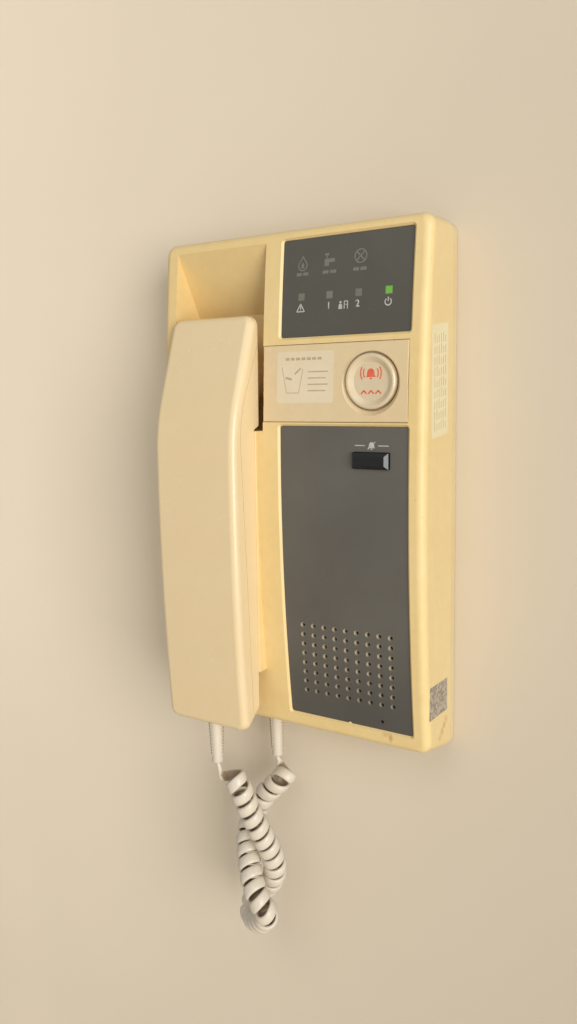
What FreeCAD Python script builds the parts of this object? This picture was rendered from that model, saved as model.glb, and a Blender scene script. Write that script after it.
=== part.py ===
import FreeCAD, Part
import math
import os

# Wall-mounted intercom indoor station with a handset on a curly cord, in millimetres.
# X runs to the right, Y into the wall and Z up. The wall is the plane Y = 0, and the
# origin is the middle of the wall bracket's screw pattern. "out" is a distance from the
# wall towards the room, so a point that is 10 mm out has Y = -10.

Vec = FreeCAD.Vector
AXIS_X = Vec(1, 0, 0)
AXIS_Y = Vec(0, 1, 0)
AXIS_Z = Vec(0, 0, 1)

# Case: a cover with one long convex front face over a shallow rear base
case_width = 132.0
case_height = 225.0
case_depth = 34.2            # crown of the front face
crown_drop = 5.0             # the crown lies this far below the middle
front_radius = 863.0         # side profile of the front face
underside_rise = 6.5         # the underside climbs this much from the wall to the front
case_corner = 5.0
case_edge = 3.6
cover_wall = 2.4
base_depth = 5.4
base_step = 0.45             # the base stands in from the cover's outline
base_wall = 2.2
base_floor = 2.2
base_recess = 1.8            # hollow of the base's back, which holds the wall bracket
parting_gap = 0.25
case_screw_radius = 1.5
case_core_radius = 1.2       # the boss's hole, which the screw cuts its thread in
case_head_radius = 2.8
screw_core_gap = 0.12
case_boss_radius = 3.2
case_spigot_radius = 2.2     # lower end of a boss, which reaches into the base
case_boss_inset = 5.0        # boss axis from the case's side
case_boss_reach = 24.0       # boss end from the wall
case_boss_margin = 16.5      # boss axis from the case's ends
pocket_boss_drop = 14.6      # boss axis below the pocket
half_width = case_width / 2
half_height = case_height / 2
crown_z = -crown_drop
far_out = 100.0              # in front of everything, for cuts

# Wall bracket: steel plate on a single-gang switch box
screw_pitch = 83.5
screw_hole_radius = 2.2
screw_head_room = 5.5
bracket_width = 62.0
bracket_height = 112.0
bracket_thick = 1.6
cable_window_width = 44.0
cable_window_height = 52.0
hook_width = 8.0
hook_spread = 38.0           # between the two hooks
hook_z = 46.0
hook_rise = 5.0
hook_clear = 0.6

# Finger pocket and ear recess for the handset
case_rim = 7.6               # cover left of the pocket
pocket_width = 48.8
pocket_margin = 4.5          # cover above the pocket
pocket_slope_height = 28.0
pocket_height = 79.4
pocket_depth = 21.9          # below the crown of the front face
pocket_left = case_rim - half_width
pocket_right = pocket_left + pocket_width
pocket_top = half_height - pocket_margin
pocket_knee_z = pocket_top - pocket_slope_height
pocket_bottom = pocket_top - pocket_height
pocket_floor = case_depth - pocket_depth

# Windows and plates of the front
panel_web = 8.5              # cover between the pocket and the windows
window_margin = 7.3
window_top_margin = 4.4
upper_height = 40.3
plate_gap = 3.0              # cover between the upper window and the middle plate
plate_height = 32.2
panel_gap = 1.6              # cover between the middle plate and the lower panel
lower_margin = 13.5
window_corner = 1.0
panel_corner = 2.0
panel_sink = 0.9             # windows lie this far behind the front face
window_bevel = 0.9           # around the windows' openings
panel_thick = 2.2
flange_thick = 1.2
flange_lap = 1.5
flange_lap_top = 0.5
fit_gap = 0.12
plate_thick = 1.8
plate_seat = 2.0             # depth of the recess that the middle plate lies in
plate_floor = 2.4
plate_edge = 0.5
window_left = pocket_right + panel_web
window_right = half_width - window_margin
window_middle = (window_left + window_right) / 2
upper_top = half_height - window_top_margin
upper_bottom = upper_top - upper_height
plate_left = pocket_right
plate_top = upper_bottom - plate_gap
plate_bottom = plate_top - plate_height
lower_top = plate_bottom - panel_gap
lower_bottom = lower_margin - half_height

# Emergency push button
button_side = 16.5           # button axis from the plate's right edge
button_rise = 0.3            # button axis above the plate's middle
button_radius = 11.05
button_gap = 0.85
button_bevel = 1.0
button_proud = 0.9
button_round = 0.5
dish_depth = 1.3
dish_slope = 2.1
button_rim = 1.2
button_flange_lap = 0.7
button_flange_thick = 1.0
plunger_radius = 3.0
running_gap = 0.05
button_x = window_right - button_side
button_z = (plate_top + plate_bottom) / 2 + button_rise
button_hole_radius = button_radius + button_gap
button_flange_radius = button_hole_radius + button_flange_lap

# Alarm stop key, a black bar with bevelled edges
key_side = 16.2              # key axis from the panel's right edge
key_drop = 13.8              # key axis below the panel's upper edge
key_width = 16.3
key_height = 6.6
key_bevel = 1.4
key_proud = 1.7
key_gap = 0.2
key_flange = 1.0
key_stem_radius = 2.0
key_x = window_right - key_side
key_z = lower_top - key_drop

# Loudspeaker, its perforation and the microphone hole of the lower panel
speaker_shift = 0.1          # from the panel's middle line
speaker_foot = 3.1           # loudspeaker above the panel's lower edge
speaker_side = 5.9           # loudspeaker inside the panel's width, each side
speaker_rim = 1.2
rim_land = 3.4
basket_taper = 9.0
basket_depth = 7.5
basket_wall = 0.6
cone_thick = 0.5
cap_radius = 6.5
cap_height = 2.4
magnet_step = 2.0            # the magnet is this much slimmer than the basket's neck
magnet_board_gap = 1.2       # between the magnet and the board
gasket_width = 3.0
gasket_least = 0.9
strap_width = 4.8
strap_height = 8.0
hole_columns = 9
hole_rows = 8
hole_pitch_x = 5.3
hole_pitch_z = 4.4
hole_radius = 0.7
hole_sink_radius = 1.15
hole_sink_depth = 0.7
mic_side = 14.1
mic_rise = 3.9
mic_hole_radius = 0.8
mic_radius = 2.8
mic_depth = 5.7
mic_gap = 0.3
mic_shift = 0.6              # the capsule sits a little above its hole
notch_radius = 0.9
speaker_radius = (window_right - window_left) / 2 - speaker_side
basket_radius = speaker_radius - basket_taper
magnet_radius = basket_radius - magnet_step
speaker_x = window_middle + speaker_shift
speaker_z = lower_bottom + speaker_foot + speaker_radius
hole_left = speaker_x - (hole_columns - 1) * hole_pitch_x / 2
hole_top = speaker_z + (hole_rows - 1) * hole_pitch_z / 2
mic_x = window_right - mic_side
mic_z = lower_bottom + mic_rise

# Indicators behind the upper window
indicator_shift = -0.2       # from the window's middle line
indicator_pitch = 13.4
indicator_drop = 23.8        # below the window's upper edge
indicator_count = 4
indicator_size = 3.0
lens_thick = 1.5
shield_side = 6.5
shield_under = 7.3
shield_over = 7.7
shield_gap = 0.1
led_radius = 1.5
led_height = 3.0
led_room = 0.9
lamp_board_drop = 10.7       # lamp board behind the front face
lamp_board_side = 1.0
lamp_board_end = 3.0
pillar_radius = 1.8
pillar_inset = 2.5
indicator_left = window_middle + indicator_shift - (indicator_count - 1) * indicator_pitch / 2
indicator_right = indicator_left + (indicator_count - 1) * indicator_pitch
indicator_z = upper_top - indicator_drop
shield_left = indicator_left - shield_side
shield_right = indicator_right + shield_side
shield_low = indicator_z - shield_under
shield_high = indicator_z + shield_over

# Rest for the handset, a raised block below the ear recess
rest_side_left = 0.4
rest_side_right = 3.4
rest_height = 109.1
rest_top_proud = 0.3         # in front of the crown
rest_bottom_proud = 2.4
rest_edge = 0.6
rest_left = pocket_left + rest_side_left
rest_right = pocket_right - rest_side_right
rest_bottom = pocket_bottom - rest_height
rest_top_out = case_depth + rest_top_proud
rest_bottom_out = case_depth + rest_bottom_proud

# Handset. Heights are told from its upper end, depths from the rest.
finger_gap = 30.0            # pocket left open above the handset
handset_width = 44.4
handset_length = 186.8       # to the sharp lower corner, before it is rounded
handset_top_back = 0.7       # upper end behind the rest's upper edge
bend_drop = 35.5
bend_thick = 11.8
grip_drop = 58.8
grip_thick = 16.15
low_thick = 11.2
heel_rise = 8.2              # the lower end slants up to the rear
heel_step = 0.35
ear_step = 4.5               # rear of the ear part behind the rest's upper edge
ear_step_rise = 2.2
ear_lean = 1.3               # the ear part's rear leans this much
handset_gap = 0.35           # between the hung handset and its rest
handset_wall = 2.0
handset_top_thicker = 2.6    # the top end is thin, so its hollow stops lower
handset_corner_top = 4.6
handset_corner_low = 4.2
handset_edge = 3.2
seam_gap = 0.25
seam_top_drop = 11.0
seam_bend_rise = 3.2
seam_bend_back = 6.3
seam_grip_drop = 1.2
seam_grip_back = 5.55
seam_low_back = 6.5
seam_lean = 4.0
seam_lean_height = 8.5
ear_cup_drop = 25.0
ear_cup_radius = 18.3
ear_cup_clear = 4.5          # between the ear cup and the recess floor
ear_cup_edge = 3.0
cup_wall = 1.8
ear_hole_radius = 1.1
ear_hole_circle = 6.0
ear_hole_count = 6
mouth_width = 26.0
mouth_drop = 3.5             # mouth cup below the rest
mouth_height = 12.5
mouth_proud = 4.7
mouth_corner = 3.0
mouth_slot_count = 3
mouth_slot_pitch = 4.5
mouth_slot_width = 1.2
mouth_slot_height = 6.0
handset_screw_drops = (58.0, 146.0)
handset_post_radius = 3.0
handset_screw_radius = 1.0
handset_screw_head = 2.3
handset_head_thick = 0.85
handset_x = (rest_left + rest_right) / 2
handset_top = pocket_top - finger_gap
handset_low = handset_top - handset_length
handset_heel_z = handset_low + heel_rise
handset_bend_z = handset_top - bend_drop
handset_grip_z = handset_top - grip_drop
handset_top_out = rest_top_out - handset_top_back
handset_bend_out = rest_top_out + bend_thick
handset_grip_out = rest_top_out + grip_thick
handset_low_out = rest_bottom_out + low_thick
handset_heel_out = rest_bottom_out + handset_gap + heel_step
ear_back = rest_top_out - ear_step
ear_low = pocket_bottom + ear_step_rise
ear_cup_z = handset_top - ear_cup_drop
ear_cup_back = pocket_floor + ear_cup_clear
mouth_top = rest_bottom - mouth_drop
mouth_bottom = mouth_top - mouth_height
mouth_back = handset_heel_out - mouth_proud
seam_top_z = handset_top - seam_top_drop
seam_top_out = ear_back - seam_gap / 2
seam_bend_z = handset_bend_z + seam_bend_rise
seam_bend_out = handset_bend_out - seam_bend_back
seam_grip_z = handset_grip_z - seam_grip_drop
seam_grip_out = handset_grip_out - seam_grip_back
seam_low_out = handset_low_out - seam_low_back

# Handset inner pieces
capsule_radius = 14.5
capsule_depth = 8.0
foam_thick = 1.5
mouthpiece_radius = 4.2
mouthpiece_depth = 6.5
weight_width = 22.0
weight_drop = 76.0
weight_height = 46.0
weight_depth = 7.0

# Hook switch
hook_switch_drop = 40.6      # below the rest's upper edge
hook_plunger_width = 8.0
hook_plunger_height = 5.0
hook_plunger_gap = 0.2
hook_plunger_round = 0.8
hook_travel = 4.0
hook_flange = 1.0
hook_flange_lap = 2.0
hook_rest_gap = 0.3
hook_switch_z = pocket_bottom - hook_switch_drop

# Circuit board
board_out = 9.6
board_thick = 1.6
board_gap = 0.1
board_side = 14.0            # board from the case's left side
board_end = 12.5             # board from the case's upper and lower ends
board_inside = 2.2           # board from the windows' right edge
board_pocket_gap = 4.6       # board from the pocket's right side
board_pocket_drop = 6.6      # board below the pocket
post_radius = 2.8
post_screw_radius = 1.1
post_inset = 5.0
post_head_thick = 1.6
middle_post_rise = 57.0      # post beside the loudspeaker, above the panel's lower edge
board_left = board_side - half_width
board_right = window_right - board_inside
board_step_x = pocket_right + board_pocket_gap
board_step_z = pocket_bottom - board_pocket_drop
board_top = half_height - board_end
board_bottom = board_end - half_height

# Switch bodies that stand on the board
switch_size = 14.0
switch_height = 8.0
switch_bore_depth = 6.0
switch_corner = 1.0
spring_wire = 0.8
spring_turns = 5
spring_room = 1.0            # between a plunger and the bore of its spring
spring_seat_gap = 0.1

# Parts on the board
terminal_side = 24.0
terminal_rise = 38.0
terminal_count = 6
terminal_pitch = 6.4
terminal_depth = 11.0
terminal_height = 9.0
terminal_well = 5.0
terminal_screw_radius = 2.2
terminal_screw_height = 2.5
terminal_slot = 0.8
relay_size = (12.0, 20.0, 10.0)
relay_side = 5.1             # relay from the windows' left edge
relay_drop = 1.0             # relay below the lower panel's upper edge
capacitor_radius = 4.0
capacitor_height = 11.0
capacitor_side = 21.1
capacitor_drop = 43.0
capacitor_pitch = 12.0
terminal_x = board_left + terminal_side
terminal_z = board_bottom + terminal_rise
relay_place = (window_left + relay_side, lower_top - relay_drop)

# Strain reliefs and curly cord
relief_neck_radius = 2.7
relief_head_radius = 4.4
relief_head = 1.4
relief_top_radius = 3.6
relief_end_radius = 2.9
relief_rib = 1.5
relief_rib_width = 0.6
relief_rib_depth = 0.35
cord_side = 16.0             # the case's cord entry from the handset's middle line
cord_out = 14.0
case_relief_end = -131.0
handset_relief_back = 0.3    # the handset's cord entry behind the parting line
handset_relief_end = -127.0
wire_radius = 1.6
curl_radius = 4.1            # centre line of the wire in a curl
curl_pitch = 6.1
curl_pitch_bend = 9.6        # the curls open up where the cord turns back
curl_bend_height = 13.0
curl_bend_spread = 1.6
curl_stretch = 1.6           # the upper curls open up under the cord's own weight
curl_stretch_low = -176.0
curl_stretch_height = 30.0
curl_lead = 3.3              # straight wire at each end
curl_run_up = 5.0            # from the straight wire to the first full curl
curl_start = math.pi         # the first curl leaves towards the left
route_steps = 2400
cord_x = handset_x + cord_side
handset_relief_out = seam_low_out - handset_relief_back

# Route of the cord's middle line: (x, out, z), from the handset to the case
cord_route = (
    (-35.5, 41.0, -127.15),
    (-35.5, 41.0, -128.8),
    (-35.5, 41.0, -133.6),
    (-28.6, 40.6, -136.6),
    (-23.9, 39.2, -142.2),
    (-20.9, 37.2, -150.1),
    (-17.9, 34.8, -158.0),
    (-15.3, 31.8, -166.8),
    (-13.2, 28.6, -175.2),
    (-14.4, 24.8, -184.7),
    (-22.0, 21.0, -195.6),
    (-32.2, 18.2, -205.6),
    (-39.6, 17.4, -213.6),
    (-41.2, 20.0, -221.6),
    (-33.6, 25.4, -223.4),
    (-21.0, 32.4, -214.6),
    (-12.0, 38.2, -202.4),
    (-12.6, 40.0, -191.8),
    (-16.2, 39.0, -185.6),
    (-20.7, 36.2, -182.0),
    (-25.2, 32.4, -178.4),
    (-29.2, 28.2, -174.7),
    (-31.8, 24.0, -170.3),
    (-31.4, 20.2, -165.6),
    (-27.9, 17.2, -159.2),
    (-22.6, 15.2, -151.7),
    (-16.6, 14.2, -143.4),
    (-19.5, 14.0, -136.4),
    (-19.5, 14.0, -132.8),
    (-19.5, 14.0, -131.15),
)


# Helpers: everything is placed by x, z and distance out from the wall

def box(x0, x1, out0, out1, z0, z1):
    return Part.makeBox(x1 - x0, out1 - out0, z1 - z0, Vec(x0, -out1, z0))


def rod(x, z, radius, out0, out1):
    return Part.makeCylinder(radius, out1 - out0, Vec(x, -out1, z), AXIS_Y)


def taper(x, z, radius0, radius1, out0, out1):
    """A cone along Y with radius0 at out0, the end nearer the wall."""
    return Part.makeCone(radius1, radius0, out1 - out0, Vec(x, -out1, z), AXIS_Y)


def upright(x, out, radius0, radius1, z0, z1):
    """A cone or cylinder along Z."""
    if abs(radius0 - radius1) < 1e-6:
        return Part.makeCylinder(radius0, z1 - z0, Vec(x, -out, z0), AXIS_Z)
    return Part.makeCone(radius0, radius1, z1 - z0, Vec(x, -out, z0), AXIS_Z)


def rounded_block(x0, x1, out0, out1, z0, z1, radius):
    """A block whose four edges along Y are rounded."""
    block = box(x0, x1, out0, out1, z0, z1)
    edges = [e for e in block.Edges if abs(e.tangentAt(e.FirstParameter).y) > 0.99]
    return block.makeFillet(radius, edges)


def extrude_profile(edges, x0, x1):
    """Extrude a closed side profile, drawn in the plane X = 0, from x0 to x1."""
    face = Part.Face(Part.Wire(edges))
    solid = face.extrude(Vec(x1 - x0, 0, 0))
    solid.translate(Vec(x0, 0, 0))
    return solid


def side_point(out, z):
    return Vec(0, -out, z)


def polygon_edges(points):
    corners = [side_point(*p) for p in points]
    return [Part.makeLine(a, b) for a, b in zip(corners, corners[1:] + corners[:1])]


def front_out(z, inset=0.0):
    """Distance out of the convex front face at height z, or of a face inset behind it."""
    centre = case_depth - front_radius
    return centre + math.sqrt((front_radius - inset) ** 2 - (z - crown_z) ** 2)


def front_arc(z0, z1, inset=0.0):
    middle = (z0 + z1) / 2
    ends = [side_point(front_out(z, inset), z) for z in (z0, middle, z1)]
    return Part.Arc(*ends).toShape()


def front_slab(x0, x1, z0, z1, inset0, inset1):
    """A plate that follows the front face, from inset0 to the deeper inset1."""
    outer = front_arc(z0, z1, inset0)
    inner = front_arc(z0, z1, inset1)
    ends = []
    for z in (z0, z1):
        a = side_point(front_out(z, inset0), z)
        b = side_point(front_out(z, inset1), z)
        ends.append(Part.makeLine(a, b))
    return extrude_profile([outer, ends[1], inner, ends[0]], x0, x1)


def window_slab(x0, x1, z0, z1, corner, inset0, inset1):
    """A curved plate with rounded corners."""
    slab = front_slab(x0, x1, z0, z1, inset0, inset1)
    return slab.common(rounded_block(x0, x1, 0, far_out, z0, z1, corner))


def keep(shape):
    """The shape's solids as one clean result."""
    shape = shape.removeSplitter()
    solids = shape.Solids
    return solids[0] if len(solids) == 1 else Part.makeCompound(solids)


# Case

def case_blank(inset, corner, edge):
    """The case's outer form, or the form inset behind it, with rounded edges."""
    slope = math.atan(underside_rise / front_out(-half_height))
    low_back = -half_height + inset / math.cos(slope)
    low_front = low_back
    for _ in range(6):
        low_front = low_back + math.tan(slope) * front_out(low_front, inset)
    top = half_height - inset
    back_low = side_point(0, low_back)
    front_low = side_point(front_out(low_front, inset), low_front)
    front_top = side_point(front_out(top, inset), top)
    back_top = side_point(0, top)
    profile = [
        Part.makeLine(back_low, front_low),
        front_arc(low_front, top, inset),
        Part.makeLine(front_top, back_top),
        Part.makeLine(back_top, back_low),
    ]
    side = half_width - inset
    blank = extrude_profile(profile, -side, side)
    along = [e for e in blank.Edges if abs(abs(e.CenterOfMass.x) - side) < 1e-3
             and abs(e.tangentAt(e.FirstParameter).y) > 0.9]
    blank = blank.makeFillet(corner, along)
    return blank.makeFillet(edge, foremost_face(blank).Edges)


def foremost_face(solid):
    return min(solid.Faces, key=lambda face: face.CenterOfMass.y)


def pocket_tool(grow):
    """The finger pocket and ear recess, or the block around it that is `grow` larger."""
    top_out = front_out(pocket_top)
    run = pocket_top - pocket_knee_z
    drop = top_out - pocket_floor
    side = math.hypot(run, drop)
    floor = pocket_floor - grow
    knee = pocket_knee_z + grow * (side - drop) / run
    high = pocket_top + grow * side / drop
    profile = polygon_edges([
        (far_out, high), (top_out, high), (floor, knee),
        (floor, pocket_bottom - grow), (far_out, pocket_bottom - grow)])
    return extrude_profile(profile, pocket_left - grow, pocket_right + grow)


def rest_block(inset):
    """The raised handset rest, or its hollow, which is inset inside it."""
    slope = (rest_bottom_out - rest_top_out) / (pocket_bottom - rest_bottom)
    high = pocket_bottom - inset
    low = rest_bottom + inset
    high_out = rest_top_out + slope * inset - inset
    low_out = rest_bottom_out - slope * inset - inset
    profile = polygon_edges([(case_depth / 2, low), (low_out, low), (high_out, high), (case_depth / 2, high)])
    return extrude_profile(profile, rest_left + inset, rest_right - inset)


def boss_places():
    x = half_width - case_boss_inset
    z = half_height - case_boss_margin
    return ((x, z), (x, -z), (-x, -z), (-x, pocket_bottom - pocket_boss_drop))


def front_cover():
    blank = case_blank(0.0, case_corner, case_edge)
    rest = rest_block(0.0)
    front_edges = [e for e in rest.Edges if -e.CenterOfMass.y > case_depth]
    rest = rest.makeFillet(rest_edge, front_edges)
    inner_corner = case_corner - cover_wall
    hollow = case_blank(cover_wall, inner_corner, case_edge - cover_wall)
    hollow = hollow.fuse(rest_block(cover_wall))
    hollow = hollow.cut(pocket_tool(cover_wall))
    seat_x0 = plate_left - fit_gap
    seat_x1 = window_right + fit_gap
    seat_z0 = plate_bottom - fit_gap
    seat_z1 = plate_top + fit_gap
    seat_back = plate_seat + plate_floor
    hollow = hollow.cut(front_slab(seat_x0, seat_x1 + cover_wall, seat_z0 - fit_gap, seat_z1 + fit_gap,
                                   0, seat_back))
    cover = blank.fuse(rest).cut(hollow)
    cover = cover.cut(pocket_tool(0.0))
    cover = cover.cut(front_slab(seat_x0, seat_x1, seat_z0, seat_z1, -case_depth, plate_seat))
    deep = case_depth / 2
    for x0, x1, z0, z1 in (
            (window_left, window_right, upper_bottom, upper_top),
            (window_left, window_right, lower_bottom, lower_top)):
        cover = cover.cut(rounded_block(x0, x1, deep, far_out, z0, z1, window_corner))
        cover = cover.makeChamfer(window_bevel, opening_edges(cover, x0, x1, z0, z1))
    cover = cover.cut(rod(button_x, button_z, button_flange_radius + fit_gap, deep, case_depth))
    cover = cover.cut(hook_plunger_hole(hook_plunger_gap, deep, far_out))
    cover = cover.cut(upright(cord_x, cord_out, relief_neck_radius + fit_gap, relief_neck_radius + fit_gap,
                              -half_height, -half_height + 4 * cover_wall))
    cover = cover.cut(box(-half_width, half_width, -1, base_depth, -half_height, half_height))
    for x, z in boss_places():
        spigot_end = base_front() + parting_gap
        boss = rod(x, z, case_boss_radius, base_depth, case_boss_reach).common(blank)
        boss = boss.fuse(rod(x, z, case_spigot_radius, spigot_end, base_depth + cover_wall))
        cover = cover.fuse(boss)
        cover = cover.cut(rod(x, z, case_core_radius, 0, case_boss_reach - cover_wall))
    return keep(cover)


def opening_edges(cover, x0, x1, z0, z1):
    """The front edges of a window's opening."""
    edges = []
    for edge in cover.Edges:
        room = edge.BoundBox
        within = room.XMin > x0 - fit_gap and room.XMax < x1 + fit_gap
        within = within and room.ZMin > z0 - fit_gap and room.ZMax < z1 + fit_gap
        middle = edge.CenterOfMass
        if within and abs(-middle.y - front_out(middle.z)) < fit_gap:
            edges.append(edge)
    return edges


def base_front():
    """Front of the rear base's floor."""
    return base_recess + base_floor


def rear_base():
    outline = case_blank(base_step, case_corner - base_step, case_edge)
    rim_out = base_depth - parting_gap
    tray = outline.common(box(-half_width, half_width, 0, rim_out, -half_height, half_height))
    room = case_blank(base_step + base_wall, case_corner - base_step, case_edge - cover_wall)
    floor_out = base_front()
    for out0, out1 in ((floor_out, case_depth), (-1, base_recess)):
        layer = box(-half_width, half_width, out0, out1, -half_height, half_height)
        tray = tray.cut(room.common(layer))
    for x, z in post_places():
        tray = tray.fuse(rod(x, z, post_radius, base_recess, board_out - board_gap))
        tray = tray.cut(rod(x, z, post_screw_radius, floor_out, board_out))
    tray = tray.cut(rounded_block(-cable_window_width / 2, cable_window_width / 2, 0, board_out,
                                  -cable_window_height / 2, cable_window_height / 2, panel_corner))
    for z in (-screw_pitch / 2, screw_pitch / 2):
        tray = tray.cut(rod(0, z, screw_head_room, 0, board_out))
    for x, z in boss_places():
        tray = tray.fuse(rod(x, z, case_boss_radius + base_wall / 2, 0, floor_out).common(outline))
        tray = tray.cut(rod(x, z, case_boss_radius, 0, base_recess))
        tray = tray.cut(rod(x, z, case_screw_radius + fit_gap, 0, board_out))
    for x in (-hook_spread / 2, hook_spread / 2):
        tray = tray.cut(box(x - hook_width / 2 - hook_clear, x + hook_width / 2 + hook_clear, 0, board_out,
                            hook_z - hook_clear, hook_z + bracket_thick + hook_rise + hook_clear))
    return keep(tray)


def wall_bracket():
    plate = rounded_block(-bracket_width / 2, bracket_width / 2, 0, bracket_thick,
                          -bracket_height / 2, bracket_height / 2, panel_corner)
    plate = plate.cut(rounded_block(-cable_window_width / 2, cable_window_width / 2, -1, board_out,
                                    -cable_window_height / 2, cable_window_height / 2, panel_corner))
    for z in (-screw_pitch / 2, screw_pitch / 2):
        plate = plate.cut(rod(0, z, screw_hole_radius, -1, board_out))
    arm_out = base_front() + hook_clear
    for x in (-hook_spread / 2, hook_spread / 2):
        x0 = x - hook_width / 2
        x1 = x + hook_width / 2
        front = arm_out + bracket_thick
        plate = plate.fuse(box(x0, x1, bracket_thick / 2, front, hook_z, hook_z + bracket_thick))
        plate = plate.fuse(box(x0, x1, arm_out, front, hook_z, hook_z + hook_rise))
    return keep(plate)


def case_screws():
    screws = []
    for x, z in boss_places():
        end = case_boss_reach - 3 * cover_wall
        shank = rod(x, z, case_core_radius - screw_core_gap, base_recess / 2, end)
        screws.append(keep(shank.fuse(rod(x, z, case_head_radius, fit_gap, base_recess - fit_gap))))
    return Part.makeCompound(screws)


# Windows, middle plate and their buttons

def upper_window():
    gap = fit_gap
    face = window_slab(window_left + gap, window_right - gap, upper_bottom + gap, upper_top - gap,
                       window_corner, panel_sink, panel_sink + panel_thick)
    flange = front_slab(window_left - flange_lap, window_right + flange_lap, upper_bottom - flange_lap,
                        upper_top + flange_lap_top, cover_wall + gap, cover_wall + flange_thick + gap)
    inner = front_slab(window_left + flange_lap, window_right - flange_lap, upper_bottom + flange_lap,
                       upper_top - flange_lap, 0, case_depth / 2)
    return keep(face.fuse(flange.cut(inner)))


def lower_panel():
    gap = fit_gap
    face = window_slab(window_left + gap, window_right - gap, lower_bottom + gap, lower_top - gap,
                       window_corner, panel_sink, panel_sink + panel_thick)
    flange = front_slab(window_left - flange_lap, window_right + flange_lap, lower_bottom - flange_lap,
                        lower_top + flange_lap_top, cover_wall + gap, cover_wall + flange_thick + gap)
    inner = front_slab(window_left + flange_lap, window_right - flange_lap, lower_bottom + flange_lap,
                       lower_top - flange_lap, 0, case_depth / 2)
    panel = face.fuse(flange.cut(inner))
    holes = []
    for column in range(hole_columns):
        for row in range(hole_rows):
            x = hole_left + column * hole_pitch_x
            z = hole_top - row * hole_pitch_z
            surface = front_out(z, panel_sink)
            holes.append(revolve_profile([
                (0, case_depth / 2), (hole_radius, case_depth / 2), (hole_radius, surface - hole_sink_depth),
                (hole_sink_radius, surface), (hole_sink_radius, case_depth), (0, case_depth)], x, z))
    holes.append(rod(mic_x, mic_z, mic_hole_radius, case_depth / 2, case_depth))
    notch_z = lower_bottom + gap
    notch_back = front_out(notch_z, panel_sink + panel_thick / 2)
    holes.append(rod(window_middle, notch_z, notch_radius, notch_back, case_depth))
    holes.append(box(key_x - key_width / 2 - key_gap, key_x + key_width / 2 + key_gap, case_depth / 2,
                     far_out, key_z - key_height / 2 - key_gap, key_z + key_height / 2 + key_gap))
    return keep(panel.cut(holes))


def middle_plate():
    plate = front_slab(plate_left + fit_gap / 2, window_right - fit_gap / 2, plate_bottom + fit_gap / 2,
                       plate_top - fit_gap / 2, 0, plate_thick)
    plate = plate.makeFillet(plate_edge, foremost_face(plate).Edges)
    plate = plate.cut(rod(button_x, button_z, button_hole_radius, 0, far_out))
    surface = front_out(button_z)
    bevel = taper(button_x, button_z, button_hole_radius, button_hole_radius + 2 * button_bevel,
                  surface - button_bevel, surface + button_bevel)
    return keep(plate.cut(bevel))


def button_front():
    return front_out(button_z) + button_proud


def button_flange_out():
    """Front of the button's hidden flange, just behind the middle plate."""
    return front_out(button_z + button_flange_radius, plate_thick) - spring_seat_gap


def board_front():
    return board_out + board_thick


def switch_top():
    return board_front() + switch_height


def emergency_button():
    """A dished cap on a flange, with a plunger that runs in the switch."""
    front = button_front()
    flange = button_flange_out()
    back = flange - button_flange_thick
    dish = button_radius - button_rim
    points = [
        (0, back), (button_flange_radius, back), (button_flange_radius, flange),
        (button_radius, flange), (button_radius, front - button_round), (button_radius - button_round, front),
        (dish, front), (dish - dish_slope, front - dish_depth), (0, front - dish_depth)]
    cap = revolve_profile(points, button_x, button_z)
    plunger_end = switch_top() - switch_bore_depth / 2
    plunger = rod(button_x, button_z, plunger_radius, plunger_end, back + button_flange_thick / 2)
    return keep(cap.fuse(plunger))


def revolve_profile(points, x, z):
    """Revolve (radius, out) points about the line along Y through x and z."""
    corners = [Vec(x + r, -out, z) for r, out in points]
    wire = Part.makePolygon(corners + corners[:1])
    return Part.Face(wire).revolve(Vec(x, 0, z), AXIS_Y, 360)


def push_switch(x, z, bore_radius):
    """A square switch body on the board, bored for the plunger that presses it."""
    top = switch_top()
    half = switch_size / 2
    body = rounded_block(x - half, x + half, board_front(), top, z - half, z + half, switch_corner)
    return keep(body.cut(rod(x, z, bore_radius + running_gap, top - switch_bore_depth, top)))


def coil_spring(x, z, plunger, seat):
    """A spring from the switch to a flange's back, swept on biarcs of half a turn."""
    radius = plunger + spring_room + spring_wire / 2
    turns = spring_turns
    start = switch_top() + spring_seat_gap + spring_wire / 2
    length = seat - spring_seat_gap - spring_wire / 2 - start
    places = []
    for i in range(2 * turns + 1):
        angle = math.pi * i
        out = start + length * i / (2 * turns)
        spot = Vec(x + radius * math.cos(angle), -out, z + radius * math.sin(angle))
        climb = length / (turns * 2 * math.pi)
        way = Vec(-radius * math.sin(angle), -climb, radius * math.cos(angle)).normalize()
        places.append((spot, way))
    return sweep_tube(places, spring_wire / 2)


def emergency_spring():
    return coil_spring(button_x, button_z, plunger_radius, button_flange_out() - button_flange_thick)


def key_front():
    return front_out(key_z) + key_proud


def key_flange_out():
    low = key_z + key_height / 2 + key_flange
    return front_out(low, panel_sink + panel_thick) - spring_seat_gap


def stop_key():
    front = key_front()
    flange = key_flange_out()
    half_x = key_width / 2
    half_z = key_height / 2
    bar = box(key_x - half_x, key_x + half_x, flange - key_flange, front, key_z - half_z, key_z + half_z)
    rim = [e for e in bar.Edges if abs(-e.CenterOfMass.y - front) < 1e-3]
    bar = bar.makeChamfer(key_bevel, rim)
    lap = key_flange
    bar = bar.fuse(box(key_x - half_x - lap, key_x + half_x + lap, flange - key_flange, flange,
                       key_z - half_z - lap, key_z + half_z + lap))
    stem_end = switch_top() - switch_bore_depth / 2
    return keep(bar.fuse(rod(key_x, key_z, key_stem_radius, stem_end, flange)))


def stop_spring():
    return coil_spring(key_x, key_z, key_stem_radius, key_flange_out() - key_flange)


# Hook switch, pressed by the hung handset

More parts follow.
